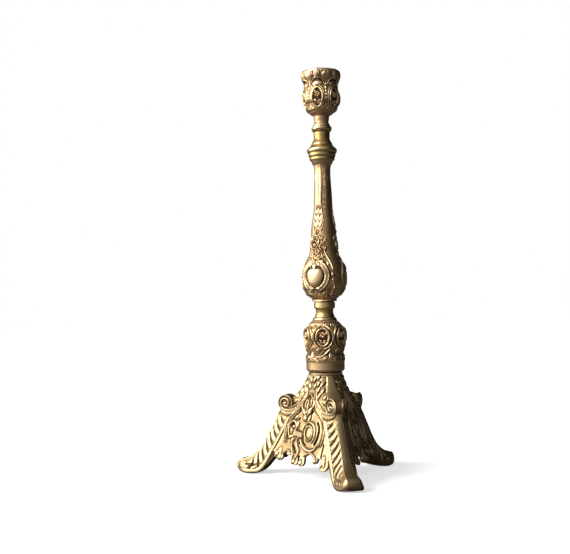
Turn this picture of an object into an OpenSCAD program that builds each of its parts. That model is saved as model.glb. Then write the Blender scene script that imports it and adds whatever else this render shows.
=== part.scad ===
// Altar candlestick: a three-sided pierced foot, a ringed knop, a pear baluster and a
// candle cup, threaded on one tie rod. Turned and cast brass. Origin on the axis at the
// floor, +Z up, front leg towards -Y.

/* [Candle cup] */
// Diameter of the candle that the socket takes
candle_d = 22; // [18:0.5:24]
// Depth of the candle socket
socket_depth = 24; // [16:1:30]
// Height of the candle cup
cup_h = 44.5; // [40:0.5:60]
// Outer radius of the flared lip
cup_lip_r = 16.2; // [15.6:0.1:20]
// Least outer radius below the lip
cup_waist_r = 13.6; // [13.4:0.1:16]
// Outer radius of the cup's belly
cup_belly_r = 15.4; // [14.5:0.1:19]
// Least outer radius of the cup's neck
cup_neck_r = 5.8; // [5:0.1:9]
// Outer radius of the foot of the cup's neck
cup_foot_r = 7.4; // [6.5:0.1:10]

/* [Neck collar] */
// Height of the turned collar below the cup
neck_h = 27.2; // [24:0.2:34]
// Radius of its top ring
neck_ring_r = 8.2; // [7.6:0.1:11]
// Least radius of its waist
neck_waist_r = 6.1; // [5.6:0.1:7.5]
// Radius of its widest moulding
neck_bead_r = 12.2; // [11.5:0.1:15]
// Radius of its underside
neck_foot_r = 10.2; // [9.8:0.1:11.4]

/* [Stem] */
// Height of the cast pear-shaped stem
stem_h = 115; // [90:1:140]
// Radius at the top of the stem
stem_top_r = 9.8; // [9:0.1:11]
// Least radius below the top
stem_waist_r = 6.5; // [6:0.1:8.5]
// Radius of the shoulder above the belly
stem_shoulder_r = 11.4; // [10:0.1:14]
// Radius of the belly
stem_belly_r = 17.8; // [15:0.1:22]
// Height of the belly's middle above the stem's foot
stem_belly_z = 18.6; // [17:0.2:26]
// Radius at the stem's foot
stem_foot_r = 10.1; // [9.4:0.1:12]
// Wall of the cored belly
stem_wall = 3.6; // [2.5:0.1:6]

/* [Lower collar] */
// Height of the turned collar below the stem
lower_h = 14.8; // [13:0.2:20]
// Radius of its ring
lower_ring_r = 8.5; // [8:0.1:11]
// Least radius of its waist
lower_waist_r = 6.9; // [6.2:0.1:7.8]
// Radius of its foot
lower_foot_r = 9.7; // [9.2:0.1:11]

/* [Knop] */
// Height of the cast knop
knop_h = 41.4; // [36:0.2:50]
// Radius of the knop's upper bulge
knop_bulge_r = 17.4; // [16:0.1:21]
// Radius of the knop's waist
knop_waist_r = 15; // [14.2:0.1:16]
// Radius of the knop's foot band
knop_foot_r = 15.5; // [14.8:0.1:17]
// Wall of the cored knop
knop_wall = 4.5; // [3:0.1:6]
// Height of the turned ring under the knop
base_ring_h = 3; // [2:0.1:5]
// Radius of the turned ring under the knop
base_ring_r = 13.7; // [12.5:0.1:14]

/* [Foot] */
// Height of the foot up to the turned ring
foot_h = 80.4; // [78:0.2:96]
// Distance from the axis to each toe's tip
leg_reach = 76; // [72:0.2:92]
// Width of each leg, which is also the toe's
leg_w = 20.6; // [17:0.2:22]
// Width of the plain band along each leg's ridge
ridge_w = 5; // [4:0.2:8]
// Width of the toe across its top
toe_top_w = 9; // [6:0.2:14]
// Thickness of the two walls that form a leg
leg_wall = 4.4; // [3:0.1:6]
// Height of the toe's upper side
toe_h = 11; // [9:0.2:14]
// Radius of each toe's ground pad
pad_r = 4.5; // [3:0.1:6]
// Distance from the axis to the middle of each ground pad
pad_reach = 58.5; // [57:0.2:64]
// Radius of the rolled volute at the head of each leg
volute_r = 7; // [5.5:0.1:8.5]
// Distance from the axis to the volute's middle
volute_reach = 33; // [32:0.2:36]
// Height of the volute's middle
volute_z = 57.4; // [55:0.2:59]
// Width of the volute at its outermost point
volute_nose_w = 6.2; // [4:0.2:9]
// Height at which the legs and panels meet the crown
crown_z = 62; // [60:0.2:66]
// Radius of the crown's top
crown_top_r = 14.1; // [13.8:0.1:16]
// Thickness of the crown's wall
crown_wall = 4.2; // [3:0.1:5.5]
// Thickness of the pierced panels
panel_t = 3.4; // [2.4:0.1:4.4]

/* [Tie rod] */
// Diameter of the tie rod
rod_d = 6; // [5:0.5:6.5]
// Length of rod that screws into the cup
rod_grip = 9; // [6:0.5:11]
// Width across the flats of the clamp nut
nut_af = 10; // [8:0.5:13]
// Thickness of the clamp nut
nut_h = 5; // [4:0.5:8]
// Thickness of the split lock washer
lock_t = 1.6; // [1:0.1:2.5]
// Radius of the large plain washer
washer_r = 9; // [8:0.1:11]
// Thickness of the large plain washer
washer_t = 2; // [1:0.1:3]

/* [Fits] */
// Difference between the socket's and the candle's diameters
candle_clearance = 0.6; // [0.2:0.1:1]
// Radial play of the rod in the pieces it passes through
rod_clearance = 0.4; // [0.2:0.1:0.8]
// Radial play that stands for the thread's fit
thread_clearance = 0.05; // [0.02:0.01:0.1]
// Play between a register and its recess, at the side and at the end
register_clearance = 0.15; // [0.05:0.05:0.3]
// Seam under the candle cup, which unscrews
cup_seam = 0.2; // [0.1:0.1:0.5]
// Brazed seam between legs, panels and crown
braze_gap = 0.1; // [0.05:0.05:0.3]

/* [Hidden] */
$fn = 96;

cast_brass = [0.72, 0.55, 0.33];
turned_brass = [0.80, 0.64, 0.30];
steel = [0.55, 0.55, 0.56];

// The pieces stand on each other from the floor up.
ring_z = foot_h;
knop_z = ring_z + base_ring_h;
lower_z = knop_z + knop_h;
stem_z = lower_z + lower_h;
neck_z = stem_z + stem_h;
cup_z = neck_z + neck_h + cup_seam;
top_z = cup_z + cup_h;

rod_r = rod_d / 2;
rod_hole_r = rod_r + rod_clearance;
thread_r = rod_r + thread_clearance;
socket_r = (candle_d + candle_clearance) / 2;
mouth_chamfer = 0.8;

// Short registers keep stacked pieces on one axis.
register_r = 5;
register_h = 2;

// The crown is hollow below this height, where the washers and the nut bear.
crown_roof_t = 6.4;
roof_z = foot_h - crown_roof_t;
nut_z = roof_z - washer_t - lock_t - nut_h;
rod_tail = 3;
rod_bottom_z = nut_z - rod_tail;
rod_top_z = cup_z + rod_grip;

// Leg numbers 0, 1, 2 stand at the front, right and left, and the panels lie between them.
leg_az = [-90, 30, 150];
panel_az = [-30, 90, -150];
half_corner = 30;

// Ridge of a leg in the plane of radius and height: a straight fall, then a flare into the toe.
shoulder_reach = 38;
shoulder_z = 52;
flare_reach = 51.8;
flare_z = 26.6;
flare_turn = 1.2;
toe_crown_reach = leg_reach - 4;

// Walls of the foot reach past the panels and the toes.
far = 130;

// ---- outlines ----

// One stretch of a turned outline from station a to station b. A station is [radius, height, kind]:
// "s" swells along half a cosine, "q" and "p" are quarter ellipses that start flat and start
// upright, and "l" is straight.
function stretch(a, b, t) =
    let (dr = b[0] - a[0], dz = b[1] - a[1])
    a[2] == "s" ? [a[0] + dr * (1 - cos(180 * t)) / 2, a[1] + dz * t] :
    a[2] == "q" ? [a[0] + dr * sin(90 * t), a[1] + dz * (1 - cos(90 * t))] :
    a[2] == "p" ? [a[0] + dr * (1 - cos(90 * t)), a[1] + dz * sin(90 * t)] :
    [a[0] + dr * t, a[1] + dz * t];

function outline(stations, steps = 5) = [
    for (i = [0:len(stations) - 2])
        let (n = stations[i][2] == "l" ? 1 : steps)
        for (k = [0:n - 1]) stretch(stations[i], stations[i + 1], k / n),
    [stations[len(stations) - 1][0], stations[len(stations) - 1][1]]
];

// A turned solid from its stations, closed along the axis.
module turned(stations, steps = 5) {
    points = outline(stations, steps);
    rotate_extrude() polygon(concat([[0, points[0][1]]], points, [[0, points[len(points) - 1][1]]]));
}

function arc(centre, r, from, to, n = 12) =
    [for (i = [0:n]) let (a = from + (to - from) * i / n) centre + r * [cos(a), sin(a)]];

function bezier(p, q, s, n = 8) =
    [for (i = [0:n]) let (t = i / n) (1 - t) * (1 - t) * p + 2 * t * (1 - t) * q + t * t * s];

// Ridge of the leg from the shoulder to the top of the toe.
fall = (flare_reach - shoulder_reach) / (shoulder_z - flare_z);
flare_corner_z = toe_h + flare_turn;
flare_corner = [flare_reach + fall * (flare_z - flare_corner_z), flare_corner_z];
ridge = concat([[shoulder_reach, shoulder_z]],
    bezier([flare_reach, flare_z], flare_corner, [toe_crown_reach, toe_h]));

// Distance from the axis to a side face whose corner, cut back by the ridge band, is at reach r.
function face_from_ridge(r) = (r + ridge_w / 2 / tan(half_corner)) / 2;
face = [for (p = ridge) [face_from_ridge(p[0]), p[1]]];
crown_face = 18.2;
crown_ridge_r = 26.5;

// ---- building blocks of the foot ----

// Solid whose section in the plane of distance and height is given, run sideways across a face.
module across(points, azimuth, width = far) {
    rotate([0, 0, azimuth]) rotate([90, 0, 0])
        linear_extrude(height = 2 * width, center = true) polygon(points);
}

// Everything behind a side face. Below the toe's top it drops straight down.
module behind_face(azimuth) {
    across(concat([[-far, -1], [face[len(face) - 1][0], -1]],
        [for (i = [len(face) - 1:-1:0]) face[i]],
        [[crown_face, crown_z], [crown_face, crown_z + 20], [-far, crown_z + 20]]), azimuth);
}

// The part of a face above the flare into the toes.
hollow_floor_z = 20;
upper_face = [for (p = face) if (p[1] > hollow_floor_z) p];
upper_end = upper_face[len(upper_face) - 1];

// Everything behind a face of the body, set back by an inset. Below the flare it falls with a given
// slope: upright for the hollow, where the solid toe starts, and splayed for a panel's drops.
module behind_body_face(azimuth, inset, slope = 0) {
    across(concat([[-far, -1], [upper_end[0] - inset + slope * (upper_end[1] + 1), -1]],
        [for (i = [len(upper_face) - 1:-1:0]) upper_face[i] - [inset, 0]],
        [[crown_face - inset, crown_z], [crown_face - inset, crown_z + 20], [-far, crown_z + 20]]), azimuth);
}

toe_tip_r = 4.4;
heel_reach = 54;
sole_lift = 0.8;
module leg_side_outline() {
    tip = [leg_reach - toe_tip_r, toe_h - toe_tip_r];
    polygon(concat(
        [[15, crown_z - braze_gap], [crown_ridge_r, crown_z - braze_gap]],
        ridge,
        arc(tip, toe_tip_r, 75, -80, 10),
        [[pad_reach + pad_r + 1.5, sole_lift], [heel_reach, sole_lift], [heel_reach - 3.5, 4.5],
         [heel_reach - 9, 10.5], [heel_reach - 12, 15.5], [heel_reach - 18, 17.5], [15, 17.5]]));
}

// Plan of a leg with a rounded toe.
toe_corner_r = 6.5;
module leg_plan() {
    edge = leg_w / 2 - toe_corner_r;
    tip = leg_reach - toe_corner_r;
    linear_extrude(height = crown_z + 20)
        polygon(concat([[0, -leg_w / 2]], arc([tip, -edge], toe_corner_r, -90, 0, 8),
            arc([tip, edge], toe_corner_r, 0, 90, 8), [[0, leg_w / 2]]));
}

// The toe has sloping sides under a flat top.
module toe_roof() {
    rotate([90, 0, 90]) linear_extrude(height = leg_reach + 1)
        polygon([[-leg_w / 2 - 1, 0], [leg_w / 2 + 1, 0], [toe_top_w / 2, toe_h + 0.1], [-toe_top_w / 2, toe_h + 0.1]]);
}

// Roll across the ridge. Its ends slope, so that it is narrowest at its outermost point.
volute_end_az = 70;
module volute() {
    end = (volute_reach + volute_r) * cos(volute_end_az) + volute_nose_w / 2 * sin(volute_end_az);
    half_plane = [[0, 0], [end, 0], [end, foot_h], [0, foot_h]];
    intersection() {
        translate([volute_reach, 0, volute_z]) rotate([90, 0, 0])
            cylinder(r = volute_r, h = 4 * volute_r, center = true);
        across(half_plane, volute_end_az);
        across(half_plane, -volute_end_az);
    }
}

// One leg, drawn along +X: two walls that meet at the ridge, a solid toe, a volute and a flat pad.
module leg() {
    difference() {
        intersection() {
            rotate([90, 0, 0]) linear_extrude(height = leg_w, center = true) leg_side_outline();
            union() {
                intersection() {
                    behind_face(60);
                    behind_face(-60);
                }
                toe_roof();
            }
            leg_plan();
        }
        intersection() {
            behind_body_face(60, leg_wall);
            behind_body_face(-60, leg_wall);
        }
    }
    volute();
    translate([pad_reach, 0, 0]) cylinder(r = pad_r, h = 2);
}

// Pierced ornament of a panel, as flat shapes in the plane of sideways place and height.
module curved_slot(centre, r, w, from, to) {
    polygon(concat(arc(centre, r + w / 2, from, to), arc(centre, r - w / 2, to, from)));
}

motif_x = -1;
motif_z = 38;
module piercings() {
    // the long curved slots beside the middle scrolls
    curved_slot([motif_x + 4, motif_z], 15, 2.8, -36, 40);
    curved_slot([motif_x - 1, motif_z - 1], 12, 2.6, 165, 208);
    // the comma beside the strap
    translate([motif_x - 11.5, motif_z + 5.5]) circle(r = 1.9);
    curved_slot([motif_x - 8, motif_z + 4], 4, 1.8, 150, 230);
    // the eye of the middle scroll
    curved_slot([motif_x + 9, motif_z + 1.5], 4.2, 1.8, 60, 250);
    // the pair beside the upright leaf
    translate([motif_x + 6.5, motif_z + 13]) circle(r = 1.6);
    translate([motif_x - 4.5, motif_z + 13.5]) circle(r = 1.4);
    // under the strap
    translate([motif_x, motif_z - 10]) circle(r = 0.9);
    curved_slot([motif_x - 11, motif_z - 16], 7, 2, 5, 50);
    // beside the legs
    curved_slot([motif_x - 18, motif_z - 15], 8, 1.8, 140, 180);
    curved_slot([motif_x + 20, motif_z - 15], 8, 2.2, 0, 45);
}

// Drops along the lower edge: sideways place, height and radius.
drops = [[-28, 17.5, 3.2], [-22, 14.5, 3.8], [-12, 17.4, 2.6], [-5, 14, 3],
    [4, 13.6, 3.2], [18, 16, 2.8], [28.5, 14, 4.4]];
hem_z = 18.5;
drop_neck = 0.75;
module panel_front() {
    linear_extrude(height = far) difference() {
        union() {
            translate([-far / 2, hem_z]) square([far, crown_z - braze_gap - hem_z]);
            for (drop = drops) translate([drop[0], drop[1]]) {
                circle(r = drop[2]);
                translate([-drop[2] * drop_neck, 0]) square([2 * drop[2] * drop_neck, hem_z - drop[1] + 1]);
            }
        }
        piercings();
    }
}

// One pierced panel, drawn facing +X between the legs at 60 degrees on either side.
panel_slope = 0.42;
module panel() {
    seam = leg_w / 2 + braze_gap;
    difference() {
        intersection() {
            behind_body_face(0, 0, panel_slope);
            rotate([90, 0, 90]) panel_front();
        }
        behind_body_face(0, panel_t, panel_slope);
        rotate([0, 0, 60]) translate([0, -seam, -1]) cube([far, far, foot_h]);
        rotate([0, 0, -60]) translate([0, seam - far, -1]) cube([far, far, foot_h]);
    }
}

// ---- sub-parts ----

module candle_cup() color(cast_brass) translate([0, 0, cup_z]) difference() {
    turned([
        [cup_foot_r, 0, "l"], [cup_foot_r, 0.6, "s"], [cup_neck_r, 4.6, "s"], [cup_neck_r + 0.6, 7.4, "p"],
        [cup_neck_r + 3, 10, "l"], [cup_neck_r + 4.6, 12.2, "q"], [cup_belly_r - 2.6, 14.8, "l"],
        [cup_belly_r - 1.8, 17.4, "q"], [cup_belly_r, 22.6, "s"], [cup_waist_r, cup_h - 10.8, "s"],
        [cup_lip_r, cup_h - 3.4, "l"], [cup_lip_r, cup_h - 2.8, "p"], [cup_lip_r - 0.8, cup_h, "l"]]);
    translate([0, 0, cup_h - socket_depth]) cylinder(r = socket_r, h = socket_depth + 1);
    translate([0, 0, cup_h - mouth_chamfer])
        cylinder(r1 = socket_r, r2 = socket_r + 2 * mouth_chamfer, h = 2 * mouth_chamfer);
    translate([0, 0, -1]) cylinder(r = thread_r, h = rod_grip + 3);
}

module neck_collar() color(turned_brass) translate([0, 0, neck_z]) difference() {
    union() {
        turned([
            [neck_foot_r, 0, "l"], [neck_foot_r, 1.6, "s"], [neck_bead_r - 1.2, 3.4, "p"],
            [neck_bead_r - 1, 5.6, "q"], [neck_bead_r, 7.6, "p"], [neck_bead_r - 0.9, 9.2, "l"],
            [neck_bead_r - 3.6, 11.8, "s"], [neck_waist_r, 17.4, "s"], [neck_ring_r - 1, neck_h - 5.2, "l"],
            [neck_ring_r, neck_h - 4.4, "s"], [neck_ring_r, neck_h - 0.6, "l"], [neck_ring_r - 0.6, neck_h, "l"]]);
        translate([0, 0, -register_h]) cylinder(r = register_r, h = register_h + 1);
    }
    translate([0, 0, -register_h - 1]) cylinder(r = rod_hole_r, h = neck_h + register_h + 2);
}

module stem() color(cast_brass) translate([0, 0, stem_z]) difference() {
    turned([
        [stem_foot_r, 0, "l"], [stem_foot_r, 1.4, "l"], [stem_foot_r + 2.4, 4.4, "q"],
        [stem_foot_r + 4.5, 6, "l"], [stem_belly_r - 1.6, 9.4, "q"], [stem_belly_r, stem_belly_z - 3, "l"],
        [stem_belly_r, stem_belly_z + 4.4, "s"], [stem_shoulder_r, stem_belly_z + 24, "s"],
        [stem_shoulder_r - 1, stem_belly_z + 37, "s"], [stem_waist_r + 1.2, stem_belly_z + 60, "s"],
        [stem_waist_r, stem_h - 9, "p"], [stem_waist_r + 1.2, stem_h - 3.8, "l"],
        [stem_top_r - 0.8, stem_h - 1.2, "l"], [stem_top_r, stem_h, "l"]]);
    translate([0, 0, -1]) cylinder(r = rod_hole_r, h = stem_h + 2);
    for (z = [-1, stem_h - register_h - register_clearance]) translate([0, 0, z])
        cylinder(r = register_r + register_clearance, h = register_h + register_clearance + 1 - max(0, sign(z)));
    stem_core();
}

// The core leaves an even wall round the belly.
module stem_core() turned([
    [rod_hole_r, 5.5, "s"], [stem_belly_r - stem_wall, stem_belly_z - 3, "l"],
    [stem_belly_r - stem_wall, stem_belly_z + 4.4, "s"], [stem_shoulder_r - stem_wall, stem_belly_z + 24, "s"],
    [rod_hole_r, stem_belly_z + 50, "l"]]);

module lower_collar() color(turned_brass) translate([0, 0, lower_z]) difference() {
    union() {
        turned([
            [lower_foot_r, 0, "p"], [lower_ring_r - 0.4, 1.8, "s"], [lower_waist_r, 6, "p"],
            [lower_ring_r - 0.9, 9, "l"], [lower_ring_r, 9.8, "l"], [lower_ring_r, lower_h - 1, "l"],
            [lower_ring_r - 0.7, lower_h - 0.6, "l"], [lower_ring_r - 0.7, lower_h, "l"]]);
        translate([0, 0, -register_h]) cylinder(r = register_r, h = lower_h + 2 * register_h);
    }
    translate([0, 0, -register_h - 1]) cylinder(r = rod_hole_r, h = lower_h + 2 * register_h + 2);
}

module knop() color(cast_brass) translate([0, 0, knop_z]) difference() {
    turned([
        [knop_foot_r - 1, 0, "l"], [knop_foot_r, 1.4, "l"], [knop_foot_r, 6.6, "s"],
        [knop_foot_r + 0.4, 10.2, "s"], [knop_waist_r, 14.4, "s"], [knop_waist_r + 1.2, 20, "s"],
        [knop_bulge_r - 1.1, 24, "q"], [knop_bulge_r, 28, "p"], [knop_bulge_r - 2, knop_h - 6.6, "l"],
        [lower_foot_r + 3.2, knop_h - 4, "s"], [lower_foot_r, knop_h, "l"]]);
    translate([0, 0, -1]) cylinder(r = rod_hole_r, h = knop_h + 2);
    translate([0, 0, -1]) cylinder(r = register_r + register_clearance, h = register_h + register_clearance + 1);
    translate([0, 0, knop_h - register_h - register_clearance])
        cylinder(r = register_r + register_clearance, h = register_h + 1);
    turned([
        [rod_hole_r, 5, "l"], [knop_waist_r - knop_wall, 9, "l"], [knop_waist_r - knop_wall, 20, "s"],
        [knop_bulge_r - knop_wall, 28, "s"], [rod_hole_r, knop_h - 5, "l"]]);
}

module base_ring() color(turned_brass) translate([0, 0, ring_z]) difference() {
    union() {
        turned([
            [base_ring_r - 0.6, 0, "l"], [base_ring_r, 0.5, "l"], [base_ring_r, base_ring_h - 0.9, "l"],
            [base_ring_r - 0.8, base_ring_h - 0.5, "l"], [base_ring_r - 0.8, base_ring_h, "l"]]);
        translate([0, 0, -register_h]) cylinder(r = register_r, h = base_ring_h + 2 * register_h);
    }
    translate([0, 0, -register_h - 1]) cylinder(r = rod_hole_r, h = base_ring_h + 2 * register_h + 2);
}

module base_crown() color(cast_brass) {
    difference() {
        intersection() {
            turned([
                [crown_ridge_r, crown_z, "l"], [crown_top_r + 6.7, foot_h - 12.1, "l"],
                [crown_top_r + 3.6, foot_h - 7.4, "l"], [crown_top_r + 1.6, foot_h - 3.4, "l"],
                [crown_top_r, foot_h, "l"]]);
            crown_side(panel_az[0]);
            crown_side(panel_az[1]);
            crown_side(panel_az[2]);
        }
        // the hollow narrows upwards to the roof that the washer bears on
        turned([
            [crown_face - crown_wall, crown_z - 1, "l"], [crown_face - crown_wall, crown_z + 1, "l"],
            [washer_r + 1, roof_z - 2, "l"], [washer_r + 1, roof_z, "l"]]);
        translate([0, 0, foot_h - register_h - register_clearance])
            cylinder(r = register_r + register_clearance, h = register_h + 1);
        translate([0, 0, roof_z - 1]) cylinder(r = rod_hole_r, h = crown_roof_t + 2);
    }
}

// Flat side of the crown, dished from its foot up to the round top.
module crown_side(azimuth) {
    rise = foot_h - crown_z;
    across(concat([[-far, crown_z - 1], [crown_face, crown_z - 1]],
        bezier([crown_face, crown_z], [crown_face - 2.8, crown_z + rise * 0.45], [crown_top_r + 0.2, foot_h], 6),
        [[crown_top_r + 0.2, foot_h + 1], [-far, foot_h + 1]]), azimuth);
}

module leg_front() color(cast_brass) rotate([0, 0, leg_az[0]]) leg();
module leg_right() color(cast_brass) rotate([0, 0, leg_az[1]]) leg();
module leg_left() color(cast_brass) rotate([0, 0, leg_az[2]]) leg();

module panel_right() color(cast_brass) rotate([0, 0, panel_az[0]]) panel();
module panel_rear() color(cast_brass) rotate([0, 0, panel_az[1]]) panel();
module panel_left() color(cast_brass) rotate([0, 0, panel_az[2]]) panel();

module tie_rod() color(steel) turned([
    [rod_r - 0.6, rod_bottom_z, "l"], [rod_r, rod_bottom_z + 0.6, "l"],
    [rod_r, rod_top_z - 0.6, "l"], [rod_r - 0.6, rod_top_z, "l"]]);

module plain_washer() color(steel) translate([0, 0, roof_z - washer_t]) difference() {
    cylinder(r = washer_r, h = washer_t);
    translate([0, 0, -1]) cylinder(r = rod_hole_r, h = washer_t + 2);
}

module lock_washer() color(steel) translate([0, 0, roof_z - washer_t - lock_t]) difference() {
    cylinder(r = nut_af / 2, h = lock_t);
    translate([0, 0, -1]) cylinder(r = rod_r + rod_clearance / 2, h = lock_t + 2);
    translate([0, -lock_t / 4, -1]) cube([nut_af, lock_t / 2, lock_t + 2]);
}

module clamp_nut() color(steel) translate([0, 0, nut_z]) difference() {
    cylinder(r = nut_af / 2 / cos(30), h = nut_h, $fn = 6);
    translate([0, 0, -1]) cylinder(r = thread_r, h = nut_h + 2);
}

candle_cup();
neck_collar();
stem();
lower_collar();
knop();
base_ring();
base_crown();
leg_front();
leg_right();
leg_left();
panel_right();
panel_rear();
panel_left();
tie_rod();
plain_washer();
lock_washer();
clamp_nut();
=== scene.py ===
import math

import bpy
import numpy as np
from mathutils import Matrix, Vector


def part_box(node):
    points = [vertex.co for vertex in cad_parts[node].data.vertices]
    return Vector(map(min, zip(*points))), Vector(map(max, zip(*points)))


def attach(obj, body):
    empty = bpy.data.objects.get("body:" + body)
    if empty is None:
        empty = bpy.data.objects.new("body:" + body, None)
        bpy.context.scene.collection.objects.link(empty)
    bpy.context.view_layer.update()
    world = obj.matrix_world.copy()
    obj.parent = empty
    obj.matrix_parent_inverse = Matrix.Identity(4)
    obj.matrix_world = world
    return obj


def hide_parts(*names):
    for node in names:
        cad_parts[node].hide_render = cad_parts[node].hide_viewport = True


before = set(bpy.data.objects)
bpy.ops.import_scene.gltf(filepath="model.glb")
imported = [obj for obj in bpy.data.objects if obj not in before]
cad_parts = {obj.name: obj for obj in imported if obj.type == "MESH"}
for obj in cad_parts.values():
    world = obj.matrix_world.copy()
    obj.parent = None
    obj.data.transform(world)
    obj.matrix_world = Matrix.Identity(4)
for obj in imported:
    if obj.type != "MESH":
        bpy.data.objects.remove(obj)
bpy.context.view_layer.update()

mm = 0.001


# ---- meshes from grids ----

def gridFaces(rows, columns, closedRows=False, closedColumns=False):
    # quads between neighbouring rows and columns; a closed direction joins its last line to its first
    i = np.arange(rows if closedRows else rows - 1)
    j = np.arange(columns if closedColumns else columns - 1)
    i, j = np.meshgrid(i, j, indexing="ij")
    iNext, jNext = (i + 1) % rows, (j + 1) % columns
    quads = np.stack([i * columns + j, i * columns + jNext, iNext * columns + jNext, iNext * columns + j], -1)
    return quads.reshape(-1, 4)


def signedVolume(points, faces):
    # a sixth of the sum of corner triple products over the fan triangles of the faces
    p = points[faces]
    total = 0.0
    for k in range(1, faces.shape[1] - 1):
        total += np.einsum("ij,ij->", p[:, 0], np.cross(p[:, k], p[:, k + 1]))
    return total / 6


creaseAngle = 48
noTriangles = np.zeros((0, 3), int)


def addPiece(name, points, quads, cavity, material, body, nodes, triangles=noTriangles):
    # a mesh from points in millimetres, with the recess depth of each point kept as an attribute
    if signedVolume(points, quads) + signedVolume(points, triangles) < 0:
        quads, triangles = quads[:, ::-1], triangles[:, ::-1]
    mesh = bpy.data.meshes.new(name)
    corners = np.concatenate([quads.ravel(), triangles.ravel()]).astype(np.int32)
    sizes = np.concatenate([np.full(len(quads), 4), np.full(len(triangles), 3)])
    mesh.vertices.add(len(points))
    mesh.vertices.foreach_set("co", (points * mm).astype(np.float32).ravel())
    mesh.loops.add(len(corners))
    mesh.loops.foreach_set("vertex_index", corners)
    mesh.polygons.add(len(sizes))
    mesh.polygons.foreach_set("loop_start", np.concatenate([[0], np.cumsum(sizes)[:-1]]).astype(np.int32))
    mesh.update(calc_edges=True)
    mesh.attributes.new("cavity", "FLOAT", "POINT").data.foreach_set("value", cavity.astype(np.float32).ravel())
    mesh.polygons.foreach_set("use_smooth", np.ones(len(sizes), bool))
    mesh.set_sharp_from_angle(angle=math.radians(creaseAngle))
    piece = bpy.data.objects.new(name, mesh)
    bpy.context.collection.objects.link(piece)
    mesh.materials.append(material)
    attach(piece, body)
    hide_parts(*nodes)
    return piece


def softened(height, rowSigma, columnSigma, closedColumns=False):
    # gaussian blur of a height grid: its Fourier transform times exp(-2 (pi sigma f)^2), mirrored at open ends
    rows, columns = height.shape
    padded = np.concatenate([height, height[::-1]], 0)
    if not closedColumns:
        padded = np.concatenate([padded, padded[:, ::-1]], 1)
    fRow = np.fft.fftfreq(padded.shape[0])[:, None] * rowSigma
    fColumn = np.fft.fftfreq(padded.shape[1])[None, :] * columnSigma
    gain = np.exp(-2 * np.pi ** 2 * (fRow ** 2 + fColumn ** 2))
    return np.fft.ifft2(np.fft.fft2(padded) * gain).real[:rows, :columns]


# the shade of a level place, and the widths in mm over which surroundings are taken, each with its weight
recessLook = dict(level=0.31, widths=((0.8, 1.6), (2.6, 0.65)))


def recess(height, cell, closedColumns=False):
    # level + each weight times how far a point lies below its softened surroundings: 0 is proud, 1 is deep
    depth = recessLook["level"]
    for width, weight in recessLook["widths"]:
        depth = depth + weight * (softened(height, width / cell[0], width / cell[1], closedColumns) - height)
    return np.clip(depth, 0, 1)


# ---- relief: a sheet holds sideways places u and heights z in mm, the relief h and the base that bumps rise from ----

def makeSheet(u, z, base=0, wide=None):
    # wide(z) is how many mm one sideways unit of a motif's own points covers
    u, z = np.broadcast_arrays(u, z)
    return dict(u=u, z=z, h=np.zeros(u.shape), base=base, wide=wide or (lambda z: np.ones(np.shape(z))))


def curve(points, steps=6):
    # Catmull-Rom curve: each span mixes four neighbouring points by cubic weights
    p = np.asarray(points, float)
    q = np.vstack([2 * p[0] - p[1], p, 2 * p[-1] - p[-2]])
    t = (np.arange(steps) / steps)[:, None]
    spans = [0.5 * (2 * q[i] + (q[i + 1] - q[i - 1]) * t
                    + (2 * q[i - 1] - 5 * q[i] + 4 * q[i + 1] - q[i + 2]) * t ** 2
                    + (3 * q[i] - q[i - 1] - 3 * q[i + 1] + q[i + 2]) * t ** 3) for i in range(1, len(p))]
    return np.vstack(spans + [p[-1:]])


def oval(u, z, ru, rz, start=0, end=360, count=40):
    # points (u + ru cos a, z + rz sin a) from one angle to another
    a = np.radians(np.linspace(start, end, count))
    return np.stack([u + ru * np.cos(a), z + rz * np.sin(a)], 1)


def spiral(u, z, outer, inner, start, turn, count=48):
    # a ring whose radius goes from outer to inner with t^0.8 while its angle runs evenly through turn degrees
    t = np.linspace(0, 1, count)
    a = np.radians(start + turn * t)
    r = outer + (inner - outer) * t ** 0.8
    return np.stack([u + r * np.cos(a), z + r * np.sin(a)], 1)


def onSheet(sheet, points, side=1):
    # places in mm; a list of three points or more is drawn as a curve, and side -1 mirrors it
    p = np.array(curve(points) if isinstance(points, list) and len(points) > 2 else points, float)
    p[:, 0] *= side * sheet["wide"](p[:, 1])
    return p


def distanceTo(sheet, path, reach):
    # for the points within reach of a path: their places, distance to it and share of its length
    u, z = sheet["u"].ravel(), sheet["z"].ravel()
    low, high = path.min(0) - reach, path.max(0) + reach
    pick = np.flatnonzero((u > low[0]) & (u < high[0]) & (z > low[1]) & (z < high[1]))
    pu, pz = u[pick], z[pick]
    away, share = np.full(len(pick), 1e9), np.zeros(len(pick))
    steps = np.diff(path, axis=0)
    lengths = np.hypot(*steps.T)
    starts = np.concatenate([[0], np.cumsum(lengths)])
    for p, d, length, start in zip(path, steps, lengths, starts):
        t = np.clip(((pu - p[0]) * d[0] + (pz - p[1]) * d[1]) / max(length ** 2, 1e-12), 0, 1)
        gap = np.hypot(pu - p[0] - t * d[0], pz - p[1] - t * d[1])
        closer = gap < away
        away = np.where(closer, gap, away)
        share = np.where(closer, (start + t * length) / starts[-1], share)
    return pick, away, share


def alongLine(sheet, line, width, ends, both):
    # the points near a line and their distance to it over its half width, which ends varies along the line
    for side in (1, -1)[:1 + both]:
        pick, away, share = distanceTo(sheet, onSheet(sheet, line, side), width)
        half = width / 2 * np.interp(share, np.linspace(0, 1, len(ends)), ends)
        yield pick, away / np.maximum(half, 1e-6)


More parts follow.
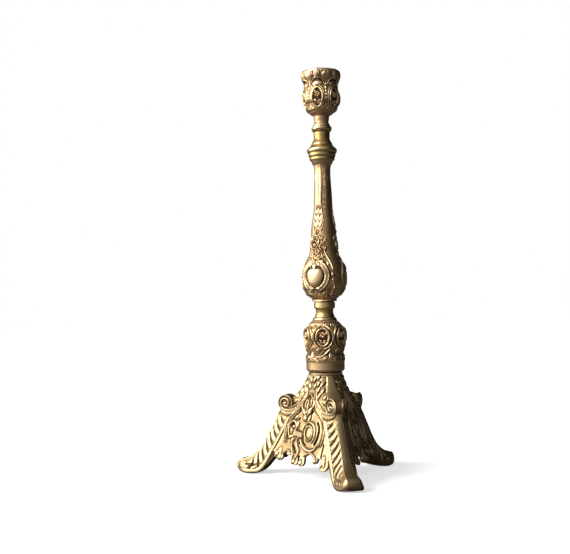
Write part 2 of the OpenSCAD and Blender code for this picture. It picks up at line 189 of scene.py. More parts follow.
def aboutPlace(sheet, u, z, reach, angle=0, both=False):
    # the points within reach of a place, and how far each lies along and across a direction
    for side in (1, -1)[:1 + both]:
        centre = onSheet(sheet, [(side * u, z)])[0]
        du, dz = (sheet["u"] - centre[0]).ravel(), (sheet["z"] - centre[1]).ravel()
        pick = np.flatnonzero((abs(du) < reach) & (abs(dz) < reach))
        turn = math.radians(angle if side == 1 else 180 - angle)
        c, s = math.cos(turn), math.sin(turn)
        yield pick, du[pick] * c + dz[pick] * s, dz[pick] * c - du[pick] * s


def sink(sheet, pick, depth):
    # the picked points less a depth
    flat = sheet["h"].ravel()
    flat[pick] -= depth
    sheet["h"] = flat.reshape(sheet["u"].shape)


def lift(sheet, pick, shape, height, base=None):
    # up to base + (height - base) shape, where that is higher than what is there
    base = sheet["base"] if base is None else base
    flat = sheet["h"].ravel()
    flat[pick] = np.maximum(flat[pick], base + (height - base) * shape)
    sheet["h"] = flat.reshape(sheet["u"].shape)


def rib(sheet, line, width, height, ends=(1, 1), both=False, base=None):
    # a rounded bead along a line: height sqrt(1 - (distance / half width)^2)
    for pick, away in alongLine(sheet, line, width, ends, both):
        inside = away < 1
        lift(sheet, pick[inside], np.sqrt(1 - away[inside] ** 2), height, base)


def groove(sheet, line, width, depth, ends=(1, 1), both=False):
    # a rounded channel along a line: its depth falls off as (1 - (distance / half width)^2)^1.5
    for pick, away in alongLine(sheet, line, width, ends, both):
        sink(sheet, pick, depth * np.clip(1 - away ** 2, 0, 1) ** 1.5)


def dome(sheet, u, z, along, across, height, angle=0, both=False):
    # half an ellipsoid: height sqrt(1 - (a / along)^2 - (b / across)^2)
    for pick, a, b in aboutPlace(sheet, u, z, max(along, across), angle, both):
        square = (a / along) ** 2 + (b / across) ** 2
        inside = square < 1
        lift(sheet, pick[inside], np.sqrt(1 - square[inside]), height)


def heart(sheet, u, z, wide, tall, height):
    # a dome whose upright half axis is sheared up with distance from the middle, b - 0.35 sqrt(a^2 + 1.5)
    for pick, a, b in aboutPlace(sheet, u, z, 1.5 * max(wide, tall)):
        square = (a / wide) ** 2 + ((b - 0.35 * np.sqrt(a ** 2 + 1.5) + 0.9) / tall) ** 2
        inside = square < 1
        lift(sheet, pick[inside], (1 - square[inside]) ** 0.42, height)


def leaf(sheet, u, z, angle, length, width, height, vein=0.35, both=False, base=None):
    # a pointed leaf from its foot: half width sin(pi share^0.75), domed across, with a sunk vein
    for pick, a, b in aboutPlace(sheet, u, z, length * 1.05, angle, both):
        share = np.clip(a / length, 0, 1)
        half = width / 2 * np.sin(np.pi * share ** 0.75)
        inside = (a > 0) & (a < length) & (abs(b) < half)
        b, half, share = b[inside], half[inside], share[inside]
        shape = np.sqrt(np.clip(1 - (b / half) ** 2, 0, 1)) * (0.55 + 0.45 * np.sin(np.pi * share))
        lift(sheet, pick[inside], shape - vein * np.exp(-(b / (0.16 * width)) ** 2), height, base)


def rosette(sheet, u, z, radius, height, petals=5, base=None):
    # petals: height (0.45 + 0.55 |cos(petals a / 2)|) with a hollow ring, round a small boss
    for pick, a, b in aboutPlace(sheet, u, z, radius):
        r = np.hypot(a, b) / radius
        wave = abs(np.cos(petals * np.arctan2(b, a) / 2))
        reach = 0.78 + 0.22 * wave
        petal = np.sqrt(np.clip(1 - (r / reach) ** 2, 0, 1)) * (0.45 + 0.55 * wave)
        boss = 1.15 * np.clip(1 - (r / 0.28) ** 2, 0, 1)
        shape = np.maximum(petal * (1 - 0.7 * np.exp(-((r - 0.36) / 0.12) ** 2)), boss)
        inside = r < reach
        lift(sheet, pick[inside], shape[inside], height, base)


def sinkOval(sheet, u, z, ru, rz, depth, edge=0.6):
    # a flat-floored oval hollow whose wall is edge mm wide
    for pick, a, b in aboutPlace(sheet, u, z, max(ru, rz) + edge):
        sink(sheet, pick, depth * np.clip((1 - np.hypot(a / ru, b / rz)) * min(ru, rz) / edge, 0, 1))


def several(stroke, sheet, rows, **values):
    # one stroke for each row of places and sizes
    for row in rows:
        stroke(sheet, *row, **values)


# ---- turned pieces ----

def outline(stations, step):
    # radius and height along stations: "s" is half a cosine, "q" and "p" quarter ellipses, "l" straight
    radius, height = [], []
    for (r0, z0, kind), (r1, z1, _) in zip(stations, stations[1:]):
        n = max(2, round(math.hypot(r1 - r0, z1 - z0) / step))
        t = np.arange(n) / n
        rising, easing = np.sin(np.pi / 2 * t), 1 - np.cos(np.pi / 2 * t)
        radius.append(r0 + (r1 - r0) * dict(s=(1 - np.cos(np.pi * t)) / 2, q=rising, p=easing, l=t)[kind])
        height.append(z0 + (z1 - z0) * dict(s=t, q=easing, p=rising, l=t)[kind])
    radius.append([stations[-1][0]])
    height.append([stations[-1][1]])
    return np.concatenate(radius), np.concatenate(height)


def sweptPoints(allR, allZ, turn):
    # the points (r cos a, r sin a, z) round the axis
    return np.stack([allR * np.cos(turn), allR * np.sin(turn), allZ], -1).reshape(-1, 3)


def addTurned(name, node, body, slot, made, ornament=None):
    # the outside outline, raised along its own normal by an ornament, and the inside, swept round the axis
    r, z = outline(made["outside"], made["step"])
    rIn, zIn = outline([(*place, "l") for place in made["inside"]], 2.5)
    columns, period = made["columns"], 2 * np.pi / made.get("count", 1)
    turn = np.arange(columns) * 2 * np.pi / columns
    phi = (turn - math.radians(made.get("centre", 0)) + period / 2) % period - period / 2
    order = np.argsort(z)
    sheet = makeSheet(phi[None, :] * r[:, None], z[:, None], made.get("field", 0),
                      lambda h: np.radians(np.interp(h, z[order], r[order])))
    if ornament:
        ornament(sheet)
    slopeR, slopeZ = np.gradient(r), np.gradient(z)
    size = np.hypot(slopeR, slopeZ) + 1e-9
    rise = sheet["h"]
    outR = r[:, None] + rise * (slopeZ / size)[:, None]
    outZ = z[:, None] - rise * (slopeR / size)[:, None]
    cell = (np.hypot(np.diff(r), np.diff(z)).mean(), 2 * np.pi * r.mean() / columns)
    cavity = recess(rise + 0.6 * r[:, None] if ornament else outR, cell, True)
    flat = np.ones((1, columns))
    allR = np.vstack([outR, rIn[:, None] * flat])
    # a register reaches down into the piece below, so the visible foot starts above it
    allZ = np.vstack([outZ, zIn[:, None] * flat]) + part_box(node)[0].z / mm + made.get("register", 0)
    cavity = np.vstack([cavity, np.full((len(rIn), columns), boreShade)])
    faces = gridFaces(*allR.shape, closedRows=True, closedColumns=True)
    return addPiece(name, sweptPoints(allR, allZ, turn), faces, cavity,
                    shaftBrass if slot == "cast_brass" else turnedBrass, body, [node])


# ---- finishes ----

def addNode(tree, kind, sockets=None, **properties):
    # a node with its properties set, and its inputs by name or place; an input given as a socket is linked
    node = tree.nodes.new(kind)
    for key, value in properties.items():
        setattr(node, key, value)
    for key, value in (sockets or {}).items():
        if isinstance(value, bpy.types.NodeSocket):
            tree.links.new(value, node.inputs[key])
        else:
            node.inputs[key].default_value = value
    return node


def noise(tree, place, scale, detail, roughness=0.5):
    # soft noise from 0 to 1
    return addNode(tree, "ShaderNodeTexNoise", {
        "Vector": place, "Scale": scale, "Detail": detail, "Roughness": roughness}).outputs["Fac"]


def mixColour(tree, factor, a, b):
    # (1 - factor) a + factor b
    return addNode(tree, "ShaderNodeMix", {0: factor, 6: a, 7: b}, data_type="RGBA").outputs[2]


def between(tree, value, low, high, to=(0, 1)):
    # value eased from low..high to the given pair
    return addNode(tree, "ShaderNodeMapRange", {
        "Value": value, "From Min": low, "From Max": high, "To Min": to[0], "To Max": to[1]},
        interpolation_type="SMOOTHSTEP").outputs["Result"]


def combine(tree, operation, *values):
    # one arithmetic operation on its values
    return addNode(tree, "ShaderNodeMath", dict(enumerate(values)), operation=operation).outputs[0]


# noises as scale, detail and roughness; what each adds to the recess depth; and the depths between which things change
brassLook = dict(patches=(55, 4, 0.6), speckle=(900, 3, 0.65), grain=(2400, 2, 0.5), patchy=(0.22, -0.11),
                 speckled=(0.16, -0.08), darkFrom=(0.5, 0.98), proudFrom=(0.36, 0.12), dullFrom=(0.25, 0.9),
                 stain=(0.35, 0.68), stainPatina=0.35, stainFade=0.55, darkMetal=0.45, bump=0.35, bumpDepth=0.00012)


def agedBrassGroup():
    # brass gone dark in its recesses and rubbed bright on what stands proud, with patches and casting grain
    group = bpy.data.node_groups.new("agedBrass", "ShaderNodeTree")
    colour, number, vector = "NodeSocketColor", "NodeSocketFloat", "NodeSocketVector"
    for label, kind, value in (
            ("Cavity", number, 0.4), ("Rubbed", colour, (1, 0.8, 0.5, 1)), ("Body", colour, (0.8, 0.6, 0.3, 1)),
            ("Patina", colour, (0.05, 0.03, 0.02, 1)), ("Darkening", number, 1), ("Grain", number, 1),
            ("Smooth", number, 0.25), ("Dull", number, 0.6)):
        group.interface.new_socket(label, in_out="INPUT", socket_type=kind).default_value = value
    for label, kind in (("Color", colour), ("Roughness", number), ("Metallic", number), ("Normal", vector)):
        group.interface.new_socket(label, in_out="OUTPUT", socket_type=kind)
    given, out = group.nodes.new("NodeGroupInput").outputs, group.nodes.new("NodeGroupOutput").inputs
    place = addNode(group, "ShaderNodeTexCoord").outputs["Object"]
    look = brassLook
    patches, speckle, grain = (noise(group, place, *look[k]) for k in ("patches", "speckle", "grain"))
    # the edge of the dark is broken up by both noises
    ragged = combine(group, "MULTIPLY_ADD", patches, *look["patchy"])
    fine = combine(group, "MULTIPLY_ADD", speckle, *look["speckled"])
    depth = combine(group, "ADD", combine(group, "ADD", given["Cavity"], ragged), fine)
    dark = combine(group, "MULTIPLY", between(group, depth, *look["darkFrom"]), given["Darkening"])
    stained = mixColour(group, look["stainPatina"], given["Body"], given["Patina"])
    tone = mixColour(group, between(group, patches, *look["stain"]), given["Body"], stained)
    tone = mixColour(group, look["stainFade"], tone, given["Body"])
    rubbed = mixColour(group, between(group, depth, *look["proudFrom"]), tone, given["Rubbed"])
    height = combine(group, "MULTIPLY", combine(group, "ADD", grain, speckle), given["Grain"])
    made = dict(
        Color=mixColour(group, dark, rubbed, given["Patina"]),
        Roughness=addNode(group, "ShaderNodeMix", {
            0: between(group, depth, *look["dullFrom"]), 2: given["Smooth"], 3: given["Dull"]},
            data_type="FLOAT").outputs[0],
        Metallic=between(group, dark, 0.1, 1, (1, look["darkMetal"])),
        Normal=addNode(group, "ShaderNodeBump", {
            "Strength": look["bump"], "Distance": look["bumpDepth"], "Height": height}).outputs["Normal"])
    for label, value in made.items():
        group.links.new(value, out[label])
    return group


shaftFinish = dict(Rubbed=(0.81, 0.605, 0.345, 1), Body=(0.86, 0.56, 0.29, 1), Patina=(0.05, 0.02, 0.012, 1),
                   Darkening=1.0, Grain=0.7, Smooth=0.42, Dull=0.62)
footFinish = dict(Rubbed=(0.60, 0.455, 0.25, 1), Body=(0.43, 0.298, 0.143, 1), Patina=(0.07, 0.036, 0.019, 1),
                  Darkening=0.85, Grain=0.7, Smooth=0.46, Dull=0.64)
turnedFinish = dict(Rubbed=(0.84, 0.63, 0.31, 1), Body=(0.66, 0.44, 0.165, 1), Patina=(0.06, 0.03, 0.012, 1),
                    Darkening=0.8, Grain=0.3, Smooth=0.36, Dull=0.5)
latheLines = dict(across=30, along=2600, bump=0.4, depth=0.00003)
steelFinish = dict(colour=(0.42, 0.41, 0.40, 1), rust=(0.16, 0.075, 0.035, 1), roughness=(0.42, 0.85),
                   metallic=(0.95, 0.25), spots=(260, 5, 0.7), bump=0.4, bumpDepth=0.0001)


def newMaterial(name):
    # a material, its node tree and the inputs of its shader
    material = bpy.data.materials.new(name)
    material.use_nodes = True
    return material, material.node_tree, material.node_tree.nodes["Principled BSDF"].inputs


def brassMaterial(name, finish, group, lines=None):
    # aged brass in one finish's colours, with each point's recess depth read from the mesh
    material, tree, shader = newMaterial(name)
    cavity = addNode(tree, "ShaderNodeAttribute", attribute_name="cavity").outputs["Fac"]
    aged = addNode(tree, "ShaderNodeGroup", {"Cavity": cavity, **finish}, node_tree=group).outputs
    normal = aged["Normal"]
    if lines:
        # fine rings left by the lathe: noise drawn out round the axis
        place = addNode(tree, "ShaderNodeTexCoord").outputs["Object"]
        drawn = addNode(tree, "ShaderNodeMapping", {
            "Vector": place, "Scale": (lines["across"], lines["across"], lines["along"])}).outputs[0]
        normal = addNode(tree, "ShaderNodeBump", {
            "Strength": lines["bump"], "Distance": lines["depth"], "Height": noise(tree, drawn, 1, 2),
            "Normal": normal}).outputs[0]
    for label, value in (("Base Color", aged["Color"]), ("Roughness", aged["Roughness"]),
                         ("Metallic", aged["Metallic"]), ("Normal", normal)):
        tree.links.new(value, shader[label])
    return material


def steelMaterial(finish):
    # dull steel with rust in patches
    material, tree, shader = newMaterial("dullSteel")
    spots = noise(tree, addNode(tree, "ShaderNodeTexCoord").outputs["Object"], *finish["spots"])
    rusty = between(tree, spots, 0.5, 0.66)
    for label, value in (
            ("Base Color", mixColour(tree, rusty, finish["colour"], finish["rust"])),
            ("Metallic", between(tree, spots, 0.45, 0.7, finish["metallic"])),
            ("Roughness", between(tree, spots, 0.4, 0.7, finish["roughness"])),
            ("Normal", addNode(tree, "ShaderNodeBump", {
                "Strength": finish["bump"], "Distance": finish["bumpDepth"], "Height": spots}).outputs[0])):
        tree.links.new(value, shader[label])
    return material


agedBrass = agedBrassGroup()
shaftBrass = brassMaterial("shaftBrass", shaftFinish, agedBrass)
footBrass = brassMaterial("footBrass", footFinish, agedBrass)
turnedBrass = brassMaterial("turnedBrass", turnedFinish, agedBrass, latheLines)
dullSteel = steelMaterial(steelFinish)
for node in ("tie_rod", "plain_washer", "lock_washer", "clamp_nut"):
    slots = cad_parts[node].data.materials
    slots.clear()
    slots.append(dullSteel)
print("finishes made")


# ---- candle cup, collars, stem and knop: (radius, height, kind) outside and (radius, height) inside ----

rodHole, boreShade, backShade = 3.4, 0.62, 0.7
cup = dict(outside=[
    (7.0, 0, "l"), (7.0, 0.5, "s"), (5.8, 3.4, "s"), (6.3, 7.4, "p"), (8.8, 10, "l"), (10.4, 12.2, "q"),
    (12.8, 14.8, "l"), (13.6, 17.4, "q"), (15.4, 22.6, "s"), (13.6, 33.7, "s"), (16.2, 41.1, "l"), (16.2, 41.7, "p"),
    (15.4, 44.5, "l")],
    inside=[(12.1, 44.5), (11.3, 43.7), (11.3, 20.5), (3.05, 20.5), (3.05, 0)],
    count=6, centre=-117, field=-0.5, columns=360, step=0.3)


def cupOrnament(sheet):
    # six framed oval medallions of flowers under smooth crests, beads between them and tabs up to the lip
    z, mid, deep = sheet["z"], 21.6, sheet["base"] - 0.7
    sheet["h"] += sheet["base"] * np.clip((z - 11.6) / 1.2, 0, 1) * np.clip((42.6 - z) / 1.5, 0, 1)
    rib(sheet, oval(0, mid + 0.2, 22, 9.2), 2.4, 0.05)
    groove(sheet, oval(0, mid + 0.1, 20.4, 8.8), 0.8, 0.6)
    sinkOval(sheet, 0, mid, 4.2, 7.3, 0.8)
    rib(sheet, oval(0, mid, 17.4, 7.9), 1.4, 0.5, base=0)
    # the flower, its leaves and its stalk inside the oval
    rosette(sheet, 0, mid + 2.2, 2.7, 0.35, base=deep)
    several(leaf, sheet, [(1, mid - 6.4, 122, 6.0, 2.6, 0.15), (0, mid - 6.4, 58, 5.4, 2.5, 0.15),
                          (-9, mid + 3.4, 75, 3.2, 1.7, 0.05)], base=deep)
    # smooth crest under an arched line
    dome(sheet, 0, mid + 11.0, 4.6, 2.1, 0.65)
    groove(sheet, oval(0, mid + 9.6, 21, 4.7, 10, 170, 24), 0.9, 0.8, (0.4, 1, 0.4))
    rib(sheet, oval(0, mid + 9.8, 23.5, 6.0, 8, 172, 24), 0.9, 0.35, (0.5, 1, 0.5))
    # tabs up to the lip with smooth leaves between them
    rib(sheet, [(0, 38.4), (0, 44)], 4.6, 0.3)
    several(groove, sheet, [([(4.4, 38.6), (4.4, 42.8)], 0.6, 0.3),
                            ([(11.5, 37.5), (11.5, 43)], 0.9, 0.45, (0.6, 1, 0.5))], both=True)
    leaf(sheet, 30, 33.4, 90, 10, 6.2, 0.25, vein=0.12, both=True)
    # beads between the medallions
    for k in range(5):
        dome(sheet, 30, 32.2 - 3.0 * k, 1.35, 1.0, 0.15, 90, both=True)
    # scalloped leaf line over the plain neck
    for a in (-20, 0, 20):
        dome(sheet, a, 12.3, 2.5, 1.15, 0.4)
        groove(sheet, [(a - 1, 12.3), (a + 1, 12.3)], 0.8, 0.35)
    rib(sheet, [(-30, 10.8), (30, 10.8)], 0.9, 0.2, base=0)


neck = dict(outside=[
    (10.2, 0, "l"), (10.2, 1.6, "s"), (11.0, 3.4, "p"), (11.2, 5.6, "q"), (12.2, 7.6, "p"), (11.3, 9.2, "l"),
    (8.8, 11.8, "s"), (6.5, 17.4, "l"), (6.6, 22.6, "s"), (7.9, 24.3, "l"), (8.2, 24.9, "l"), (8.2, 26.6, "l"),
    (7.6, 27.2, "l")],
    inside=[(rodHole, 27.2), (rodHole, 0)], columns=160, step=0.35, register=2)

stem = dict(outside=[
    (10.1, 0, "l"), (10.1, 1.4, "l"), (12.5, 4.4, "q"), (14.6, 6, "l"), (16.2, 9.4, "q"), (17.8, 15.6, "l"),
    (17.8, 23, "s"), (11.4, 42.6, "s"), (10.4, 55.6, "s"), (7.7, 78.6, "s"), (6.5, 106, "p"), (7.7, 111.2, "l"),
    (9.0, 113.8, "l"), (9.8, 115, "l")],
    inside=[(rodHole, 115), (rodHole, 0)], count=3, centre=-131, field=-0.5, columns=300, step=0.45)


def stemOrnament(sheet):
    # three scroll-framed bosses on the belly, flowers and a leaf drop above them, and smooth strips to the top
    z, mid = sheet["z"], 20.2
    sheet["h"] += sheet["base"] * np.clip(z / 3, 0, 1) * np.clip((100 - z) / 14, 0, 1)
    # the plain boss in its broad double-lined scrolls
    several(rib, sheet, [(oval(0, mid, 34, 11.2, 82, -76, 36), 4.6, 0.3, (0.6, 1, 1, 1, 0.7)),
                         (oval(0, mid, 38.6, 12.8, 80, -72, 36), 1.0, 0.6, (0.5, 1, 1, 0.6)),
                         (oval(0, mid, 30.2, 9.9, 70, -70, 36), 0.9, 0.5, (0.5, 1, 1, 0.6))], both=True)
    groove(sheet, oval(0, mid - 0.6, 26, 8.9), 1.4, 0.7)
    heart(sheet, 0, mid - 1.4, 7.4, 7.4, 0.9)
    rib(sheet, spiral(10.5, mid - 11.2, 2.6, 0.4, 20, -430), 0.95, 0.75, both=True)
    # foot leaves
    for a, reach in ((0, 7.4), (17, 6.4), (34, 6.8)):
        leaf(sheet, a, 1.8, 90 - 0.5 * a, reach, 4.2, 0.3, both=a > 0)
    # leaves and flowers hanging over the boss
    leaf(sheet, 0, mid + 11.5, 270, 8.6, 4.0, 1.35)
    several(leaf, sheet, [(8, mid + 11.6, 292, 5.8, 3.0, 1.1), (16, mid + 12.6, 318, 4.4, 2.6, 0.9)], both=True)
    for a, h, r in ((-9, 34.6, 2.6), (9, 35.2, 2.4), (-24, 37.2, 2.2), (0, 39.6, 2.5), (24, 36.4, 1.9)):
        rosette(sheet, a, h, r, 0.7)
    for a, h, r in ((-15, 45.2, 3.4), (22, 43.2, 2.5)):
        across = r / float(sheet["wide"](h))
        groove(sheet, oval(a, h, 0.62 * across, 0.62 * r), 1.1, 0.7)
        rib(sheet, oval(a, h, across, r), 1.1, 0.75)
        dome(sheet, a, h, 0.42 * r, 0.42 * r, 0.6)
    for a, h, r in ((4, 51.2, 2.6), (-16, 52.4, 2.2), (-4, 56.4, 2.0), (20, 50.4, 1.8)):
        rosette(sheet, a, h, r, 0.65)
    several(leaf, sheet, [(2, 45.2, 80, 4.6, 2.2, 0.5), (30, 46.8, 76, 5.4, 2.4, 0.45),
                          (-32, 47.6, 104, 5.4, 2.4, 0.45)])
    # leaf drop
    for k in range(4):
        h, size = 59 + 5.4 * k, 1 - 0.1 * k
        leaf(sheet, 7, h, 68, 7.2 * size, 3.0 * size, 0.2, both=True)
        leaf(sheet, 0, h + 0.8, 90, 6.2 * size, 2.6 * size, 0.4)
    rib(sheet, [(16, 57), (27, 63), (22, 70), (14, 78)], 1.0, 0.3, (0.5, 1, 0.5), both=True)
    rib(sheet, spiral(19, 64, 1.5, 0.3, 90, 400), 0.8, 0.4, both=True)
    # border line with a knob, beside a smooth field
    several(rib, sheet, [
        ([(26, mid + 24), (33, mid + 18), (45, mid + 12), (51, mid + 4.4)], 1.3, 0.4, (0.5, 1, 0.7)),
        ([(50, mid - 3), (55, mid - 8), (52, mid - 12.6), (48, mid - 17)], 1.1, 0.35, (1, 0.9, 0.5))])
    dome(sheet, 50.5, mid + 0.6, 1.9, 1.3, 0.65, 90)
    several(leaf, sheet, [(42, mid + 7.4, 118, 6.4, 2.4, 0.35), (44, mid - 15.6, 100, 6.6, 2.6, 0.3)])
    # broad smooth strip and thin lines to the collar, and one small leaf
    rib(sheet, [(11.5, 77), (11.5, 110)], 3.4, 0.25, (0.5, 1, 0.9))
    for a in (27, 38):
        groove(sheet, [(a, 72), (a + 3, 88), (a, 109)], 0.7, 0.35, (0.4, 1, 0.5))
    groove(sheet, [(-8, 76), (-5, 90), (-6, 109)], 0.8, 0.4, (0.4, 1, 0.6))
    leaf(sheet, -45, 97, 82, 7.4, 3.2, 0.3, base=-0.2)


lower = dict(outside=[
    (9.7, 0, "p"), (8.1, 1.8, "s"), (6.9, 6, "p"), (7.6, 9, "l"), (8.5, 9.8, "l"), (8.5, 13.8, "l"), (7.8, 14.2, "l"),
    (7.8, 14.8, "l")], inside=[(rodHole, 14.8), (rodHole, 0)], columns=140, step=0.3, register=2)

knop = dict(outside=[
    (14.5, 0, "l"), (15.5, 1.4, "l"), (15.5, 6.6, "s"), (15.9, 10.2, "s"), (15.0, 14.4, "s"), (16.2, 20, "s"),
    (16.3, 24, "q"), (17.4, 28, "p"), (15.4, 34.8, "l"), (12.9, 37.4, "s"), (9.7, 41.4, "l")],
    inside=[(rodHole, 41.4), (rodHole, 0)], count=6, centre=-111, field=-0.5, columns=384, step=0.32)


def knopOrnament(sheet):
    # six framed flower medallions over slanting leaves, with leaf tips above and a plain worn band below
    z, mid, deep = sheet["z"], 27.6, sheet["base"] - 0.75
    sheet["h"] += sheet["base"] * np.clip((z - 8) / 0.8, 0, 1) * np.clip((39 - z) / 2, 0, 1)
    rib(sheet, oval(0, mid, 28.6, 9.4, 84, -80, 36), 1.5, 0.5, (0.6, 1, 1, 0.6), both=True)
    groove(sheet, oval(0, mid, 23.6, 8.5, 66, -62, 30), 2.2, 1.0, (0.3, 1, 0.3), both=True)
    sinkOval(sheet, 0, mid, 4.4, 6.3, 0.9)
    rib(sheet, oval(0, mid, 18, 7.1), 1.6, 0.55)
    rosette(sheet, -1, mid + 1.8, 2.9, 0.3, base=deep)
    for a, h, angle in ((0, -5.8, 128), (0, -5.8, 52), (8, 1.6, 60)):
        leaf(sheet, a, mid + h, angle, 4.6, 2.2, 0.1, base=deep)
    # leaf tips and beads under the collar
    for a in (-20, 0, 20):
        leaf(sheet, a, 39.6, 270, 4.2, 3.4, 0.35)
        dome(sheet, a + 10, 37.6, 1.0, 0.8, 0.3)
    # slanting ribbon and leaves under the medallions
    rib(sheet, [(-29, 13.4), (-14, 11.8), (4, 13.6), (20, 17.8)], 1.7, 0.45, (0.5, 1, 0.7))
    several(leaf, sheet, [(-22, 14.8, 52, 5.6, 3.0, 0.4), (-2, 9.6, 34, 6.4, 2.8, 0.4), (24, 10.4, 100, 6.2, 3.0, 0.4),
                          (-16, 9.0, 150, 4.8, 2.4, 0.35)])
    rib(sheet, [(-30, 8.6), (30, 8.6)], 0.9, 0.2, base=0)


base = dict(outside=[
    (13.1, 0, "l"), (13.7, 0.5, "l"), (13.7, 2.1, "l"), (12.9, 2.5, "l"), (12.9, 3, "l")],
    inside=[(rodHole, 3), (rodHole, 0)], columns=180, step=0.25, register=2)

addTurned("candleCup", "candle_cup", "cup", "cast_brass", cup, cupOrnament)
addTurned("neckCollar", "neck_collar", "stand", "turned_brass", neck)
addTurned("pearStem", "stem", "stand", "cast_brass", stem, stemOrnament)
addTurned("lowerCollar", "lower_collar", "stand", "turned_brass", lower)
addTurned("ornateKnop", "knop", "stand", "cast_brass", knop, knopOrnament)
addTurned("baseRing", "base_ring", "stand", "turned_brass", base)
print("turned and cast shaft made")


# ---- foot: crown, legs and pierced panels, all drawn on the three side faces ----

# A place on a side face is t, sideways from the face's middle (to the right seen from outside), and z.
foot = dict(legAngles=(-90, 30, 150), panelAngles=(-30, 90, -150), crownFoot=62, crownTop=80.4, shoulder=(38, 52),
            flare=(51.8, 26.6), flareCorner=(59.6, 12.2), toeTop=(72, 11), band=2.5, legHalf=10.3, seam=0.04,
            hollowFrom=20.2, splay=0.42, upperHeights=[52, 62, 70.3, 80.4], upperReach=[21.17, 18.2, 15.6, 14.2],
            field=-0.65)
sin60, cos60 = math.sin(math.radians(60)), 0.5


def ridgeReach(z):
    # distance of the leg's ridge from the axis: straight above the flare, then a quadratic curve into the toe
    t = np.linspace(0, 1, 60)[:, None]
    a, b, c = (np.array(foot[k]) for k in ("flare", "flareCorner", "toeTop"))
    flare = (1 - t) ** 2 * a + 2 * t * (1 - t) * b + t * t * c
    zs = np.concatenate([flare[::-1, 1], [foot["shoulder"][1]]])
    rs = np.concatenate([flare[::-1, 0], [foot["shoulder"][0]]])
    return np.interp(z, zs, rs)


def faceReach(z):
    # distance of a side face from the axis: half of the ridge's, less what the plain band cuts off
    low, high = foot["hollowFrom"], foot["shoulder"][1]
    body = (ridgeReach(np.clip(z, low, high)) + foot["band"] / math.tan(math.radians(30))) / 2
    upper = np.interp(z, foot["upperHeights"], foot["upperReach"])
    return np.where(z > high, upper, body + foot["splay"] * np.clip(low - z, 0, None))


def panelEdge(z):
    # sideways place where a panel meets a leg, on the plane that cuts the leg to its width
    return math.sqrt(3) * faceReach(z) - 2 * foot["legHalf"] - foot["seam"]


def faceOrnament(sheet):
    # what runs over the joints of a face: channels to the volutes, the big side frames and the flame leaf
    # hollow channel from the crown that sweeps down and out under each volute, between two raised rims
    sweep = curve([(4.6, 71), (5.6, 64.6), (8.0, 59.4), (11.6, 55.4), (16.4, 52.3), (22.0, 51.0), (27.4, 51.6),
                   (31.8, 55.0)])
    rib(sheet, sweep, 4.6, 0.2, (0.4, 0.8, 1, 1, 1, 0.9), both=True)
    groove(sheet, sweep, 2.3, 0.55, (0.3, 0.8, 1, 1, 0.8), both=True)
    rib(sheet, sweep + [0.2, -2.3], 1.1, 0.5, (0.3, 1, 1, 1), both=True)
    rib(sheet, [(7.6, 66), (9.4, 61.6), (12.4, 58.2), (16.6, 55.6), (21.6, 54.4), (26.2, 55.2)], 1.0, 0.6,
        (0.5, 1, 0.8), both=True)
    # hollow leaf between the channel and the volute
    groove(sheet, [(13.4, 60.4), (16.8, 58.2), (20.4, 57.0)], 2.2, 1.1, (0.3, 1, 0.4), both=True)
    # double mouldings of the big side frames
    frameLine = curve([(7.4, 57.2), (9.2, 53.6), (14.0, 49.8), (18.2, 45.6), (20.6, 39.6), (20.8, 33), (19.6, 27.4)])
    ends = (0.3, 1, 1, 1, 0.6)
    rib(sheet, frameLine + [-1.1, -0.2], 1.4, 0.6, (0.4, 1, 1, 1, 0.6), both=True)
    groove(sheet, frameLine, 1.0, 0.5, ends, both=True)
    rib(sheet, frameLine + [1.2, 0.3], 1.8, 0.55, ends, both=True)
    groove(sheet, frameLine + [-2.3, -0.4], 1.0, 0.4, ends, both=True)
    # upright flame leaf, slit on both sides of its middle
    several(rib, sheet, [([(-0.4, 49), (-6.4, 55.6), (-5.6, 60.8), (0.0, 66.6)], 1.8, 0.8, (0.5, 1, 0.5)),
                         ([(0.4, 49), (5.8, 55.0), (5.4, 60.8), (0.2, 66.6)], 1.8, 0.8, (0.5, 1, 0.5)),
                         ([(-0.6, 51), (0.0, 57), (-0.4, 64)], 2.0, 0.9, (0.7, 1, 0.4))])
    groove(sheet, [(-3.1, 54.8), (-3.3, 58), (-1.9, 61.8)], 1.6, 1.3, (0.5, 1, 0.4))
    groove(sheet, [(2.5, 56.6), (3.1, 60), (1.9, 64.2)], 1.9, 1.5, (0.6, 1, 0.4))
    several(leaf, sheet, [(-0.4, 49.4, 54, 9.0, 3.6, 1.1), (-1.4, 49.6, 128, 8.0, 3.4, 1.0)])
    dome(sheet, -1.4, 47.6, 2.8, 2.4, 0.9, 90)
    groove(sheet, [(7.4, 57.4), (6.2, 53.2), (4.6, 50.6), (4.8, 47.4), (3.8, 44.6)], 2.0, 1.5, (0.4, 1, 1, 0.9, 0.4))


strap = dict(place=(-5.2, 35), half=4, slant=0.5, strands=(-1.25, 0, 1.25), outline=(-2.4, 2.4), bar=1.8)


